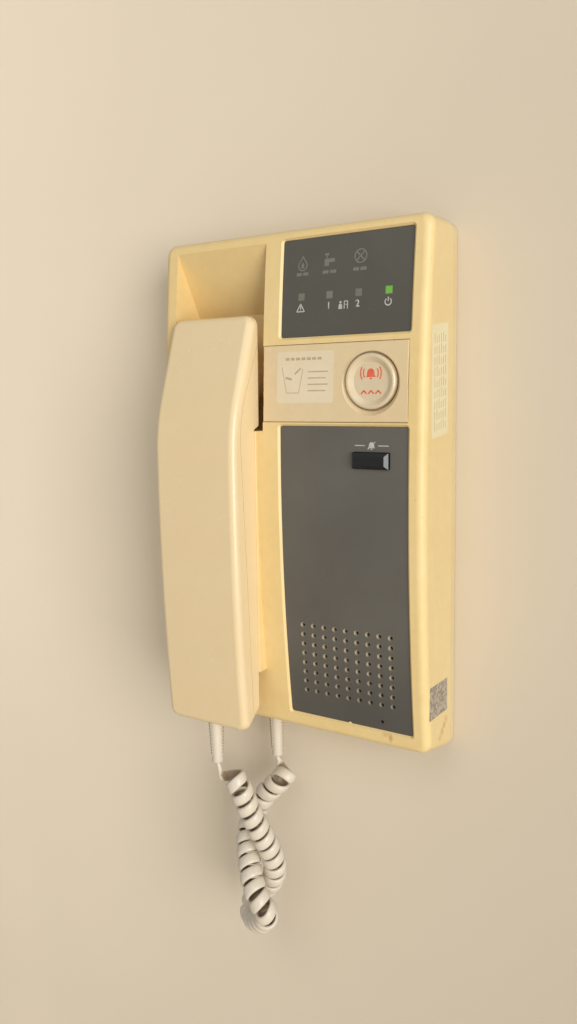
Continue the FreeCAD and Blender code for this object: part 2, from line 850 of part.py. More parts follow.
def rest_out(z):
    share = (pocket_bottom - z) / (pocket_bottom - rest_bottom)
    return rest_top_out + (rest_bottom_out - rest_top_out) * share


def hook_plunger_hole(gap, out0, out1):
    half_x = hook_plunger_width / 2 + gap
    half_z = hook_plunger_height / 2 + gap
    return box(handset_x - half_x, handset_x + half_x, out0, out1,
               hook_switch_z - half_z, hook_switch_z + half_z)


def hook_plunger_front():
    high = hook_switch_z + hook_plunger_height / 2
    return rest_out(high) + handset_gap - hook_rest_gap


def hook_flange_out():
    """Front of the plunger's flange, one travel and a little behind the rest's wall."""
    return rest_out(hook_switch_z) - cover_wall - hook_travel - 2 * spring_seat_gap


def hook_plunger():
    head = hook_plunger_hole(0.0, hook_flange_out() - hook_flange, hook_plunger_front())
    rim = [e for e in head.Edges if abs(-e.CenterOfMass.y - hook_plunger_front()) < 1e-3]
    head = head.makeFillet(hook_plunger_round, rim)
    flange = hook_plunger_hole(hook_flange_lap, hook_flange_out() - hook_flange, hook_flange_out())
    stem_end = switch_top() - switch_bore_depth + running_gap
    stem = rod(handset_x, hook_switch_z, key_stem_radius, stem_end, hook_flange_out())
    return keep(head.fuse(flange).fuse(stem))


def hook_spring():
    return coil_spring(handset_x, hook_switch_z, key_stem_radius, hook_flange_out() - hook_flange)


# Circuit board and what stands on it

def post_places():
    left = board_left + post_inset
    right = board_right - post_inset
    top = board_top - post_inset
    middle = lower_bottom + middle_post_rise
    return (
        (board_step_x + post_inset, top),
        (right, board_top - post_radius),
        (left, board_step_z - post_inset),
        (left, board_bottom + post_inset),
        (right, middle),
    )


def main_board():
    front = board_front()
    board = box(board_step_x, board_right, board_out, front, board_bottom, board_top)
    board = board.fuse(box(board_left, board_step_x, board_out, front, board_bottom, board_step_z))
    for x, z in post_places():
        board = board.cut(rod(x, z, post_screw_radius + fit_gap, 0, case_depth))
    return keep(board)


def board_screws():
    top = board_front()
    screws = []
    for x, z in post_places():
        shank = rod(x, z, post_screw_radius - screw_core_gap, base_front() + parting_gap,
                    top + post_head_thick)
        screws.append(keep(shank.fuse(rod(x, z, 2 * post_screw_radius, top, top + post_head_thick))))
    return Part.makeCompound(screws)


def terminal_block():
    front = board_front()
    length = terminal_count * terminal_pitch
    x0 = terminal_x - length / 2
    well = front + terminal_height - terminal_well
    block = box(x0, x0 + length, front, front + terminal_height,
                terminal_z - terminal_depth / 2, terminal_z + terminal_depth / 2)
    for i in range(terminal_count):
        x = x0 + (i + 0.5) * terminal_pitch
        half = terminal_screw_radius
        block = block.cut(rod(x, terminal_z, half + fit_gap, well, front + terminal_height))
        block = block.cut(box(x - half, x + half, front + base_wall, well + base_wall,
                              terminal_z - terminal_depth / 2, terminal_z - terminal_depth / 4))
    return keep(block)


def terminal_screws():
    front = board_front()
    x0 = terminal_x - terminal_count * terminal_pitch / 2
    well = front + terminal_height - terminal_well
    screws = []
    for i in range(terminal_count):
        x = x0 + (i + 0.5) * terminal_pitch
        screw = rod(x, terminal_z, terminal_screw_radius, well, well + terminal_screw_height)
        slot_back = well + terminal_screw_height - terminal_slot
        slot = box(x - terminal_pitch / 2, x + terminal_pitch / 2, slot_back, front + terminal_height,
                   terminal_z - terminal_slot / 2, terminal_z + terminal_slot / 2)
        screws.append(keep(screw.cut(slot)))
    return Part.makeCompound(screws)


def relay():
    front = board_front()
    x, z = relay_place
    width, height, depth = relay_size
    return rounded_block(x - width / 2, x + width / 2, front, front + depth, z - height / 2, z + height / 2,
                         switch_corner)


def capacitors():
    front = board_front()
    x = window_left + capacitor_side
    z = lower_top - capacitor_drop
    places = ((x, z), (x + capacitor_pitch, z), (x, z - capacitor_pitch))
    top = front + capacitor_height
    return Part.makeCompound([rod(x, z, capacitor_radius, front, top) for x, z in places])


def speaker_seat():
    """Front of the basket's rim, which the cone's edge lies on."""
    low = front_out(speaker_z - speaker_radius, panel_sink + panel_thick)
    return low - gasket_least - cone_thick


def speaker_basket():
    seat = speaker_seat()
    back = seat - basket_depth
    neck = basket_radius - rim_land
    points = [
        (neck, back), (basket_radius, back), (speaker_radius - rim_land, seat - speaker_rim),
        (speaker_radius, seat - speaker_rim), (speaker_radius, seat), (speaker_radius - rim_land, seat),
        (basket_radius - basket_wall, back + speaker_rim), (neck, back + speaker_rim)]
    return keep(revolve_profile(points, speaker_x, speaker_z))


def speaker_cone():
    seat = speaker_seat()
    back = seat - basket_depth + speaker_rim + cone_thick
    edge = speaker_radius - rim_land - cone_thick
    points = [
        (0, back + cap_height), (cap_radius, back), (edge, seat), (speaker_radius, seat),
        (speaker_radius, seat + cone_thick), (edge - cone_thick, seat + cone_thick),
        (cap_radius, back + 2 * cone_thick), (0, back + cap_height + 2 * cone_thick)]
    return keep(revolve_profile(points, speaker_x, speaker_z))


def speaker_magnet():
    back = speaker_seat() - basket_depth
    end = board_front() + magnet_board_gap
    yoke = rod(speaker_x, speaker_z, magnet_radius, end, back)
    pole = rod(speaker_x, speaker_z, basket_radius - rim_land - fit_gap, end, back + speaker_rim)
    return keep(yoke.fuse(pole))


def speaker_gasket():
    """A foam ring between the loudspeaker's flat rim and the curved panel."""
    ring = rod(speaker_x, speaker_z, speaker_radius, speaker_seat() + cone_thick, case_depth)
    ring = ring.cut(rod(speaker_x, speaker_z, speaker_radius - gasket_width, 0, case_depth))
    around = 2 * speaker_radius
    outside = front_slab(speaker_x - around, speaker_x + around, speaker_z - around, speaker_z + around,
                         -case_depth, panel_sink + panel_thick)
    return keep(ring.cut(outside))


def speaker_straps():
    """Two plastic pillars that carry the loudspeaker from the board."""
    front = board_front()
    pillars = []
    seat = speaker_seat()
    for side in (-1, 1):
        x = speaker_x + side * speaker_radius
        pillar = box(x - strap_width / 2, x + strap_width / 2, front, seat + cone_thick,
                     speaker_z - strap_height / 2, speaker_z + strap_height / 2)
        rim = rod(speaker_x, speaker_z, speaker_radius + fit_gap, seat - speaker_rim, case_depth)
        room = rod(speaker_x, speaker_z, speaker_radius - speaker_rim, 0, case_depth)
        pillar = pillar.cut(rim).cut(room)
        pillars.append(keep(pillar))
    return Part.makeCompound(pillars)


def panel_microphone():
    z = mic_z + mic_shift
    back = front_out(z - mic_radius, panel_sink + panel_thick)
    return rod(mic_x, z, mic_radius, back - mic_depth, back - mic_gap)


# Indicators behind the upper window

def indicator_places():
    """Middle lines of the indicators."""
    return [indicator_left + i * indicator_pitch for i in range(indicator_count)]


def lamp_board_out():
    """Back of the lamp board, told from the front face above the indicators."""
    return front_out(shield_high) - lamp_board_drop


def light_shield():
    back = lamp_board_out() + board_thick + led_room
    block = front_slab(shield_left, shield_right, shield_low, shield_high,
                       panel_sink + panel_thick + shield_gap, case_depth - back)
    block = block.cut(box(-half_width, half_width, 0, back, -half_height, half_height))
    half = indicator_size / 2 + fit_gap
    for x in indicator_places():
        block = block.cut(box(x - half, x + half, 0, case_depth, indicator_z - half, indicator_z + half))
    return keep(block)


def indicator_lenses():
    half = indicator_size / 2
    lenses = []
    for x in indicator_places():
        lenses.append(front_slab(x - half, x + half, indicator_z - half, indicator_z + half,
                                 panel_sink + panel_thick + shield_gap,
                                 panel_sink + panel_thick + lens_thick))
    return Part.makeCompound(lenses)


def indicator_leds():
    start = lamp_board_out() + board_thick
    leds = []
    for x in indicator_places():
        led = rod(x, indicator_z, led_radius, start, start + led_height)
        leds.append(keep(led.fuse(Part.makeSphere(led_radius, Vec(x, -(start + led_height), indicator_z)))))
    return Part.makeCompound(leds)


def indicator_board():
    back = lamp_board_out()
    return box(shield_left - lamp_board_side, shield_right + lamp_board_side, back, back + board_thick,
               shield_low - lamp_board_end, shield_high + lamp_board_end)


def board_pillars():
    """Four spacers between the main board and the indicator board."""
    pillars = []
    for x in (shield_left + pillar_inset, shield_right - pillar_inset):
        for z in (shield_low, shield_high - pillar_inset):
            pillars.append(rod(x, z, pillar_radius, board_front(), lamp_board_out()))
    return Part.makeCompound(pillars)


# Handset

def arc_between(start, way, end):
    """The arc that leaves `start` along `way` and ends at `end`."""
    chord = end - start
    across = chord - way * chord.dot(way)
    if across.Length < 1e-7 * chord.Length:
        return Part.makeLine(start, end)
    radius = chord.dot(chord) / (2 * across.Length)
    centre = start + across.normalize() * radius
    middle = (start + end) * 0.5 - centre
    if chord.dot(way) > 0:
        peak = centre + middle.normalize() * radius
    else:
        peak = centre - middle.normalize() * radius
    return Part.Arc(start, peak, end).toShape()


def front_profile(inset):
    """Front line of the handset, or of its hollow, as edges with the two end points."""
    high = handset_top - inset * handset_top_thicker
    bend = side_point(handset_bend_out - inset, handset_bend_z)
    slant = side_point(handset_bend_out - handset_top_out, handset_bend_z - handset_top).normalize()
    top = bend + slant * ((high - handset_bend_z) / slant.z)
    grip = side_point(handset_grip_out - inset, handset_grip_z)
    low = side_point(handset_low_out - inset, sole_z(handset_low_out - inset, inset))
    chord = (grip - bend).normalize()
    onward = chord * (2 * slant.dot(chord)) - slant
    edges = [Part.makeLine(top, bend), arc_between(bend, slant, grip), arc_between(grip, onward, low)]
    return edges, top, low


def handset_rest_line(z):
    return rest_out(z) + handset_gap


def sole_slope():
    """Fall of the handset's lower end per millimetre out."""
    return (handset_heel_z - handset_low) / (handset_low_out - handset_heel_out)


def sole_z(out, inset):
    """Height of the handset's slanted lower end, or of its hollow's, at a distance out."""
    slope = sole_slope()
    return handset_heel_z - slope * (out - handset_heel_out) + inset * math.hypot(1, slope)


def handset_blank(inset):
    """The handset's outer form without its cups, or its hollow when inset."""
    edges, top, low = front_profile(inset)
    step_z = pocket_bottom + 2 * handset_gap
    rear = [
        side_point(handset_heel_out + inset, sole_z(handset_heel_out + inset, inset)),
        side_point(handset_rest_line(rest_bottom) + inset, rest_bottom),
        side_point(handset_rest_line(step_z) + inset, step_z),
        side_point(ear_back + ear_lean + inset, ear_low + inset),
        side_point(ear_back + inset, top.z)]
    corners = [low] + rear + [top]
    edges += [Part.makeLine(a, b) for a, b in zip(corners, corners[1:])]
    half = handset_width / 2 - inset
    return extrude_profile(edges, handset_x - half, handset_x + half)


def handset_body():
    blank = handset_blank(0.0)
    half = handset_width / 2
    ends = [e for e in blank.Edges if abs(abs(e.CenterOfMass.x - handset_x) - half) < 1e-3]
    blank = blank.makeFillet(handset_corner_top, [e for e in ends if e.CenterOfMass.z > handset_top - 1e-3])
    ends = [e for e in blank.Edges if abs(abs(e.CenterOfMass.x - handset_x) - half) < 1e-3]
    blank = blank.makeFillet(handset_corner_low, [e for e in ends if e.CenterOfMass.z < handset_heel_z])
    front = [f for f in blank.Faces if -f.CenterOfMass.y > handset_heel_out
             and f.CenterOfMass.z > handset_heel_z and f.BoundBox.XLength > handset_width * 0.9]
    return blank.makeFillet(handset_edge, front_rim(front))


def front_rim(faces):
    """The edges that only one of the faces has: the outline of them all."""
    counted = []
    for face in faces:
        for edge in face.Edges:
            twins = [c for c in counted if c[0].isSame(edge)]
            if twins:
                twins[0][1] += 1
            else:
                counted.append([edge, 1])
    return [edge for edge, times in counted if times == 1]


def seam_side(shift, front):
    """The space in front of the parting line between the shells, or behind it."""
    over = handset_top + handset_width
    under = handset_low - handset_wall
    back = seam_top_out + shift - seam_lean
    top = side_point(back, seam_top_z + seam_lean_height)
    bend = side_point(seam_bend_out + shift, seam_bend_z)
    grip = side_point(seam_grip_out + shift, seam_grip_z)
    low = side_point(seam_low_out + shift, under)
    far = far_out if front else -1
    corners = [low, side_point(far, under), side_point(far, over), side_point(back, over), top]
    edges = [
        Part.makeLine(top, bend),
        arc_between(bend, (bend - top).normalize(), grip),
        Part.makeLine(grip, low)]
    edges += [Part.makeLine(a, b) for a, b in zip(corners, corners[1:])]
    return extrude_profile(edges, handset_x - handset_width, handset_x + handset_width)


def ear_cup(inset):
    cup = rod(handset_x, ear_cup_z, ear_cup_radius - inset, ear_cup_back + inset, ear_back + 2 * handset_wall)
    rim = [e for e in cup.Edges if abs(-e.CenterOfMass.y - ear_cup_back - inset) < 1e-3 and e.Closed]
    return cup.makeFillet(ear_cup_edge - inset, rim)


def mouth_cup(inset):
    half = mouth_width / 2 - inset
    return rounded_block(handset_x - half, handset_x + half, mouth_back + inset,
                         handset_heel_out + handset_wall, mouth_bottom + inset, mouth_top - inset,
                         mouth_corner - inset)


def handset_front_shell():
    shell = handset_body().cut(handset_blank(handset_wall))
    shell = shell.cut(seam_side(seam_gap / 2, False))
    for z in handset_screw_places():
        seat = handset_rest_line(z) + 2 * handset_wall
        post = rod(handset_x, z, handset_post_radius, seat, far_out)
        core = rod(handset_x, z, handset_screw_radius, 0, handset_grip_out - 2 * handset_wall)
        shell = shell.fuse(post.common(handset_blank(handset_wall / 2)).cut(core))
    return keep(shell.cut(relief_hole()))


def handset_screw_places():
    return [handset_top - drop for drop in handset_screw_drops]


def handset_rear_shell():
    hollow = handset_blank(handset_wall)
    in_front = seam_side(-seam_gap / 2, True)
    wide = (handset_x - handset_width, handset_x + handset_width)
    ear_rear = ear_back - seam_gap
    lap = box(*wide, ear_rear, far_out, seam_top_z - ear_lean, handset_top)
    shell = handset_body().cut(hollow).cut(in_front)
    shell = shell.fuse(ear_cup(0.0).cut(lap)).fuse(mouth_cup(0.0))
    shell = shell.cut(hollow).cut(in_front.cut(box(*wide, 0, ear_rear, 0, far_out)))
    shell = shell.cut(ear_cup(cup_wall)).cut(mouth_cup(cup_wall))
    places = [(0.0, 0.0)]
    for i in range(ear_hole_count):
        angle = 2 * math.pi * i / ear_hole_count
        places.append((ear_hole_circle * math.cos(angle), ear_hole_circle * math.sin(angle)))
    for dx, dz in places:
        shell = shell.cut(rod(handset_x + dx, ear_cup_z + dz, ear_hole_radius, 0, ear_back))
    middle = (mouth_top + mouth_bottom) / 2
    for i in range(mouth_slot_count):
        x = handset_x + (i - (mouth_slot_count - 1) / 2) * mouth_slot_pitch
        shell = shell.cut(box(x - mouth_slot_width / 2, x + mouth_slot_width / 2, 0,
                              mouth_back + 2 * cup_wall, middle - mouth_slot_height / 2,
                              middle + mouth_slot_height / 2))
    for z in handset_screw_places():
        shell = shell.cut(rod(handset_x, z, handset_screw_radius + 3 * fit_gap, 0, handset_grip_out))
        shell = shell.cut(rod(handset_x, z, handset_screw_head + 2 * fit_gap, 0, handset_screw_seat(z)))
    return keep(shell.cut(relief_hole()))


def handset_screw_seat(z):
    return handset_rest_line(z) + handset_wall / 2


def relief_hole():
    """The hole that both handset shells leave for the strain relief's neck."""
    radius = relief_neck_radius + fit_gap
    return upright(handset_x, handset_relief_out, radius, radius, handset_low,
                   handset_heel_z + 2 * handset_wall)


def handset_screws():
    screws = []
    for z in handset_screw_places():
        seat = handset_screw_seat(z)
        shank = rod(handset_x, z, handset_screw_radius - screw_core_gap, seat - handset_head_thick,
                    handset_grip_out - 3 * handset_wall)
        head = rod(handset_x, z, handset_screw_head, seat - handset_head_thick, seat)
        screws.append(keep(shank.fuse(head)))
    return Part.makeCompound(screws)


def earpiece_capsule():
    back = ear_cup_back + cup_wall + foam_thick
    body = rod(handset_x, ear_cup_z, capsule_radius, back, back + capsule_depth)
    rim = [e for e in body.Edges if e.Closed and abs(-e.CenterOfMass.y - back - capsule_depth) < 1e-3]
    body = body.makeChamfer(foam_thick, rim)
    plate = rod(handset_x, ear_cup_z, capsule_radius / 2, back, back + capsule_depth + cone_thick)
    return keep(body.fuse(plate))


def earpiece_foam():
    back = ear_cup_back + cup_wall
    ring = rod(handset_x, ear_cup_z, capsule_radius, back, back + foam_thick)
    return keep(ring.cut(rod(handset_x, ear_cup_z, capsule_radius - ear_cup_edge, 0, case_depth)))


def mouth_microphone():
    back = mouth_back + cup_wall + fit_gap
    z = (mouth_top + mouth_bottom) / 2
    return rod(handset_x, z, mouthpiece_radius, back, back + mouthpiece_depth)


def handset_weight():
    high = handset_top - weight_drop
    low = high - weight_height
    back = handset_rest_line(low) + handset_wall
    bar = box(handset_x - weight_width / 2, handset_x + weight_width / 2, 0, back + weight_depth,
              low, high)
    return keep(bar.common(handset_blank(handset_wall + running_gap)))


# Strain reliefs and the cord

def strain_relief(x, out, top, end, slope, neck_end):
    """A ribbed, tapered sleeve under a slanted face, with a neck and a head inside it."""
    body = upright(x, out, relief_end_radius, relief_top_radius, end, top + relief_top_radius)
    for i in range(2, int((top - end) / relief_rib) - 1):
        z = end + i * relief_rib
        radius = relief_end_radius + (relief_top_radius - relief_end_radius) * (z - end) / (top - end)
        for side in (-1, 1):
            edges = (x + side * (radius - relief_rib_depth), x + side * 2 * relief_top_radius)
            body = body.cut(box(min(edges), max(edges), out - relief_top_radius, out + relief_top_radius,
                                z, z + relief_rib_width))
    reach = 3 * relief_top_radius
    over = polygon_edges([
        (out - reach, top - slope * -reach), (out + reach, top - slope * reach),
        (out + reach, neck_end + reach), (out - reach, neck_end + reach)])
    body = body.cut(extrude_profile(over, x - reach, x + reach))
    neck = upright(x, out, relief_neck_radius, relief_neck_radius, end + 2 * relief_rib, neck_end)
    head = upright(x, out, relief_head_radius, relief_head_radius, neck_end, neck_end + relief_head)
    return body.fuse(neck).fuse(head)


def case_strain_relief():
    slope = -underside_rise / front_out(-half_height)
    under = -half_height - slope * cord_out - fit_gap
    inner = -half_height - slope * (cord_out + relief_head_radius) + cover_wall * math.hypot(1, slope)
    return keep(strain_relief(cord_x, cord_out, under, case_relief_end, slope, inner + fit_gap))


def handset_strain_relief():
    slope = sole_slope()
    under = sole_z(handset_relief_out, 0.0) - fit_gap * math.hypot(1, slope)
    inner = sole_z(handset_heel_out + handset_wall, handset_wall) + fit_gap
    relief = strain_relief(handset_x, handset_relief_out, under, handset_relief_end, slope, inner)
    side = 2 * relief_head_radius
    rear_wall = box(handset_x - side, handset_x + side, 0, handset_heel_out + handset_wall + fit_gap,
                    inner, 0)
    return keep(relief.cut(rear_wall))


def biarc(place0, place1):
    """Two arcs that join two places, each a point with its direction."""
    p0, t0 = place0
    p1, t1 = place1
    chord = p1 - p0
    spread = 2 * (1 - t0.dot(t1))
    lean = chord.dot(t0 + t1)
    if spread < 1e-6:
        reach = chord.dot(chord) / (2 * lean)
    else:
        reach = (-lean + math.sqrt(lean * lean + spread * chord.dot(chord))) / spread
    joint = (p0 + t0 * reach + p1 - t1 * reach) * 0.5
    return [arc_between(p0, t0, joint), arc_between(p1, t1 * -1, joint)], reach


def sweep_tube(places, radius, straight=()):
    """Sweep a round wire through the places, on biarcs, between straight end runs."""
    edges = []
    if straight:
        edges.append(Part.makeLine(straight[0], places[0][0]))
    for a, b in zip(places, places[1:]):
        pair, _ = biarc(a, b)
        first, second = pair
        edges.append(first)
        edges.append(second)
    if straight:
        edges.append(Part.makeLine(places[-1][0], straight[1]))
    path = Part.Wire(Part.__sortEdges__(edges))
    start = straight[0] if straight else places[0][0]
    ring = Part.Wire(Part.makeCircle(radius, start, places[0][1]))
    shell = Part.BRepOffsetAPI.MakePipeShell(path)
    shell.add(ring)
    shell.build()
    shell.makeSolid()
    tube = shell.shape()
    return tube.Solids[0] if tube.Solids else tube


def route_point(points, u):
    """A point of the clamped quadratic B-spline with these control points, u from 0 to 1."""
    spans = len(points) - 2
    place = min(u * spans, spans - 1e-9)
    span = int(place)
    t = place - span
    a, b, c = points[span:span + 3]
    if span > 0:
        a = (a + b) * 0.5
    if span < spans - 1:
        c = (b + c) * 0.5
    return a * (1 - t) ** 2 + b * (2 * t * (1 - t)) + c * t ** 2


def walk_route():
    """Even steps along the cord's route: points, directions, sideways vectors, lengths."""
    points = [Vec(x, -out, z) for x, out, z in cord_route]
    steps = route_steps
    line = [route_point(points, i / steps) for i in range(steps + 1)]
    sides = [AXIS_X]
    ways = []
    lengths = [0.0]
    for i in range(steps + 1):
        a = line[max(i - 1, 0)]
        b = line[min(i + 1, steps)]
        ways.append((b - a).normalize())
        if i:
            lengths.append(lengths[-1] + (line[i] - line[i - 1]).Length)
            side = sides[-1] - ways[i] * sides[-1].dot(ways[i])
            sides.append(side.normalize())
    return line, ways, sides, lengths


def curl_step(z):
    """The curls' pitch: wider in the bend at the bottom, and near the top."""
    low = min(point[2] for point in cord_route)
    bend = min(1.0, curl_bend_spread * max(0.0, 1 - (z - low) / curl_bend_height))
    stretch = min(1.0, max(0.0, (z - curl_stretch_low) / curl_stretch_height))
    return curl_pitch + (curl_pitch_bend - curl_pitch) * bend + curl_stretch * stretch


def curly_places():
    """Points and directions of the curly wire at every half turn."""
    line, ways, sides, lengths = walk_route()
    total = lengths[-1]
    angle = curl_start
    wire = []
    for i, point in enumerate(line):
        if i:
            angle += 2 * math.pi * (lengths[i] - lengths[i - 1]) / curl_step(point.z)
        from_end = min(lengths[i], total - lengths[i]) - curl_lead
        share = min(1.0, max(0.0, from_end / curl_run_up))
        radius = curl_radius * share * share * (3 - 2 * share)
        up = ways[i].cross(sides[i])
        wire.append((angle, point + sides[i] * (radius * math.cos(angle)) + up * (radius * math.sin(angle))))
    first = next(i for i, s in enumerate(lengths) if s >= curl_lead)
    last = next(i for i, s in enumerate(lengths) if s >= total - curl_lead)
    step = math.pi / 2
    picks = [first]
    for i in range(first + 1, last):
        from_end = min(lengths[i], total - lengths[i]) - curl_lead
        wanted = step if from_end < curl_run_up else math.pi
        if wire[i][0] - wire[picks[-1]][0] >= wanted:
            picks.append(i)
    if wire[last][0] - wire[picks[-1]][0] < step / 2:
        picks.pop()
    picks.append(last)
    places = []
    for i in picks:
        way = (wire[i + 1][1] - wire[i - 1][1]).normalize()
        places.append((wire[i][1], way))
    places[0] = (line[first], ways[first])
    places[-1] = (line[last], ways[last])
    ends = (line[0], line[-1])
    turns = (wire[-1][0] - wire[0][0]) / (2 * math.pi)
    return places, ends, turns, [w[1] for w in wire]


def least_gap(wire):
    """Least gap of the wire to itself, measured on points that are a curl apart."""
    points = wire[::4]
    far = []
    run = [0.0]
    for a, b in zip(points, points[1:]):
        run.append(run[-1] + (b - a).Length)
    for i, a in enumerate(points):
        for j in range(i + 1, len(points)):
            if run[j] - run[i] > 4 * curl_radius:
                far.append(a.distanceToPoint(points[j]))
    return min(far) - 2 * wire_radius


def curly_cord():
    places, ends, turns, wire = curly_places()
    cord = sweep_tube(places, wire_radius, ends)
    path = sum((b - a).Length for a, b in zip(wire, wire[1:]))
    section = math.pi * wire_radius ** 2
    print("cord: %.1f curls, wire %.0f mm long" % (turns, path))
    print("cord: least gap to itself %.2f mm" % least_gap(wire))
    print("cord: volume %.0f, section times length %.0f" % (cord.Volume, section * path))
    return cord


PARTS = {
    "wall_bracket": wall_bracket,
    "rear_base": rear_base,
    "front_cover": front_cover,
    "case_screws": case_screws,
    "upper_window": upper_window,
    "lower_panel": lower_panel,
    "middle_plate": middle_plate,
    "emergency_button": emergency_button,
    "emergency_spring": emergency_spring,
    "emergency_switch": lambda: push_switch(button_x, button_z, plunger_radius),
    "stop_key": stop_key,
    "stop_spring": stop_spring,
    "stop_switch": lambda: push_switch(key_x, key_z, key_stem_radius),
    "hook_plunger": hook_plunger,
    "hook_spring": hook_spring,
    "hook_switch": lambda: push_switch(handset_x, hook_switch_z, key_stem_radius),
    "main_board": main_board,
    "board_screws": board_screws,
    "terminal_block": terminal_block,
    "terminal_screws": terminal_screws,
    "relay": relay,
    "capacitors": capacitors,
    "speaker_basket": speaker_basket,
    "speaker_cone": speaker_cone,
    "speaker_magnet": speaker_magnet,
    "speaker_gasket": speaker_gasket,
    "speaker_straps": speaker_straps,
    "panel_microphone": panel_microphone,
    "light_shield": light_shield,
    "indicator_lenses": indicator_lenses,
    "indicator_leds": indicator_leds,
    "indicator_board": indicator_board,
    "board_pillars": board_pillars,
    "handset_front_shell": handset_front_shell,
    "handset_rear_shell": handset_rear_shell,
    "handset_screws": handset_screws,
    "earpiece_capsule": earpiece_capsule,
    "earpiece_foam": earpiece_foam,
    "mouth_microphone": mouth_microphone,
    "handset_weight": handset_weight,
    "case_strain_relief": case_strain_relief,
    "handset_strain_relief": handset_strain_relief,
    "curly_cord": curly_cord,
}


def main():
    os.makedirs("parts", exist_ok=True)
    for name, make in PARTS.items():
        shape = make()
        shape.exportStep("parts/%s.step" % name)
        size = shape.optimalBoundingBox()
        print("%-22s solids %d valid %s volume %.0f  x %.1f..%.1f y %.1f..%.1f z %.1f..%.1f" % (
            name, len(shape.Solids), shape.isValid(), shape.Volume, size.XMin, size.XMax,
            size.YMin, size.YMax, size.ZMin, size.ZMax))


main()
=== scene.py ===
import math

import bmesh
import bpy
from mathutils import Matrix, Vector


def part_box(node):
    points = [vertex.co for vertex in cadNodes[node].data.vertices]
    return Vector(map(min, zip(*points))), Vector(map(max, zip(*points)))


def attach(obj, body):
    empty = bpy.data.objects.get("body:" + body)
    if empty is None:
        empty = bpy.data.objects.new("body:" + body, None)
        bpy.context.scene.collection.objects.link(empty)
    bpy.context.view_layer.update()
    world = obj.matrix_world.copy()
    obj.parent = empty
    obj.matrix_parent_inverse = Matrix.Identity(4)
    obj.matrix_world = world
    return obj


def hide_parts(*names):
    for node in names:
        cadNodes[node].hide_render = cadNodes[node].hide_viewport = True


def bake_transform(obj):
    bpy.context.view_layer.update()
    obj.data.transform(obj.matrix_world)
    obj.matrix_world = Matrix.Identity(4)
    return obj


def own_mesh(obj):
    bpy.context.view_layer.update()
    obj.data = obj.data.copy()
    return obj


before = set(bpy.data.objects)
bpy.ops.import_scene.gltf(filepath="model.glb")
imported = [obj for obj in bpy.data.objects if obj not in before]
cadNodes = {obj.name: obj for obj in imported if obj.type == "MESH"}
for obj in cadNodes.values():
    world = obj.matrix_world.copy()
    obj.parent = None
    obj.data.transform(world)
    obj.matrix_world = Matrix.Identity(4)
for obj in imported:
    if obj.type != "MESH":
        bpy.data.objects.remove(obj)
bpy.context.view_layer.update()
print("frame loaded,", len(cadNodes), "pieces")

scene = bpy.context.scene
scene.view_settings.view_transform = "Standard"
mm = 0.001  # drawings below are in millimetres, meshes in metres


def addObject(name, data):
    thing = bpy.data.objects.new(name, data)
    scene.collection.objects.link(thing)
    return thing


# the photograph's view of the wall station
photoView = {
    "place": (0.193994, -0.333143, 0.049624),
    "turn": 32.566,  # degrees to the left of straight at the wall
    "dip": 8.921,
    "roll": -1.348,
    "focalPixels": 830.837,
    "longSide": 1024,
    "sensor": 36,
    "clip": (0.01, 20),
}


def placeCamera(view):
    turn, dip, roll = (math.radians(view[key]) for key in ("turn", "dip", "roll"))
    ahead = Vector((-math.sin(turn) * math.cos(dip), math.cos(turn) * math.cos(dip), -math.sin(dip)))
    level = Vector((math.cos(turn), math.sin(turn), 0))
    upward = level.cross(ahead)
    right = level * math.cos(roll) + upward * math.sin(roll)
    top = upward * math.cos(roll) - level * math.sin(roll)
    lens = bpy.data.cameras.new("photo-camera")
    lens.sensor_width = view["sensor"]
    lens.lens = view["sensor"] * view["focalPixels"] / view["longSide"]
    lens.clip_start, lens.clip_end = view["clip"]
    holder = addObject("photo-camera", lens)
    turned = Matrix((right, top, -ahead)).transposed().to_4x4()
    holder.matrix_world = Matrix.Translation(view["place"]) @ turned
    scene.camera = holder


placeCamera(photoView)
print("camera placed")


# small helpers for meshes

def drawnMesh(holder):
    # the plain mesh that an object's curve, text or modifier draws
    bpy.context.view_layer.update()
    return bpy.data.meshes.new_from_object(holder.evaluated_get(bpy.context.evaluated_depsgraph_get()))


def skin(mesh, rings):
    # quads from ring to ring, and triangles to a ring of one point
    for a, b in zip(rings, rings[1:]):
        around = max(len(a), len(b))
        for k in range(around):
            n = (k + 1) % around
            corners = (a[k % len(a)], a[n % len(a)], b[n % len(b)], b[k % len(b)])
            mesh.faces.new(list(dict.fromkeys(corners))).smooth = True


def boxedCircle(turn, power):
    # a point of a circle that is pushed out towards the corners of its square
    c, s = math.cos(turn), math.sin(turn)
    return math.copysign(abs(c) ** power, c), math.copysign(abs(s) ** power, s)


def makePiece(name, mesh, finish=None):
    data = bpy.data.meshes.new(name)
    mesh.to_mesh(data)
    mesh.free()
    if finish:
        data.materials.append(finish)
    return addObject(name, data)


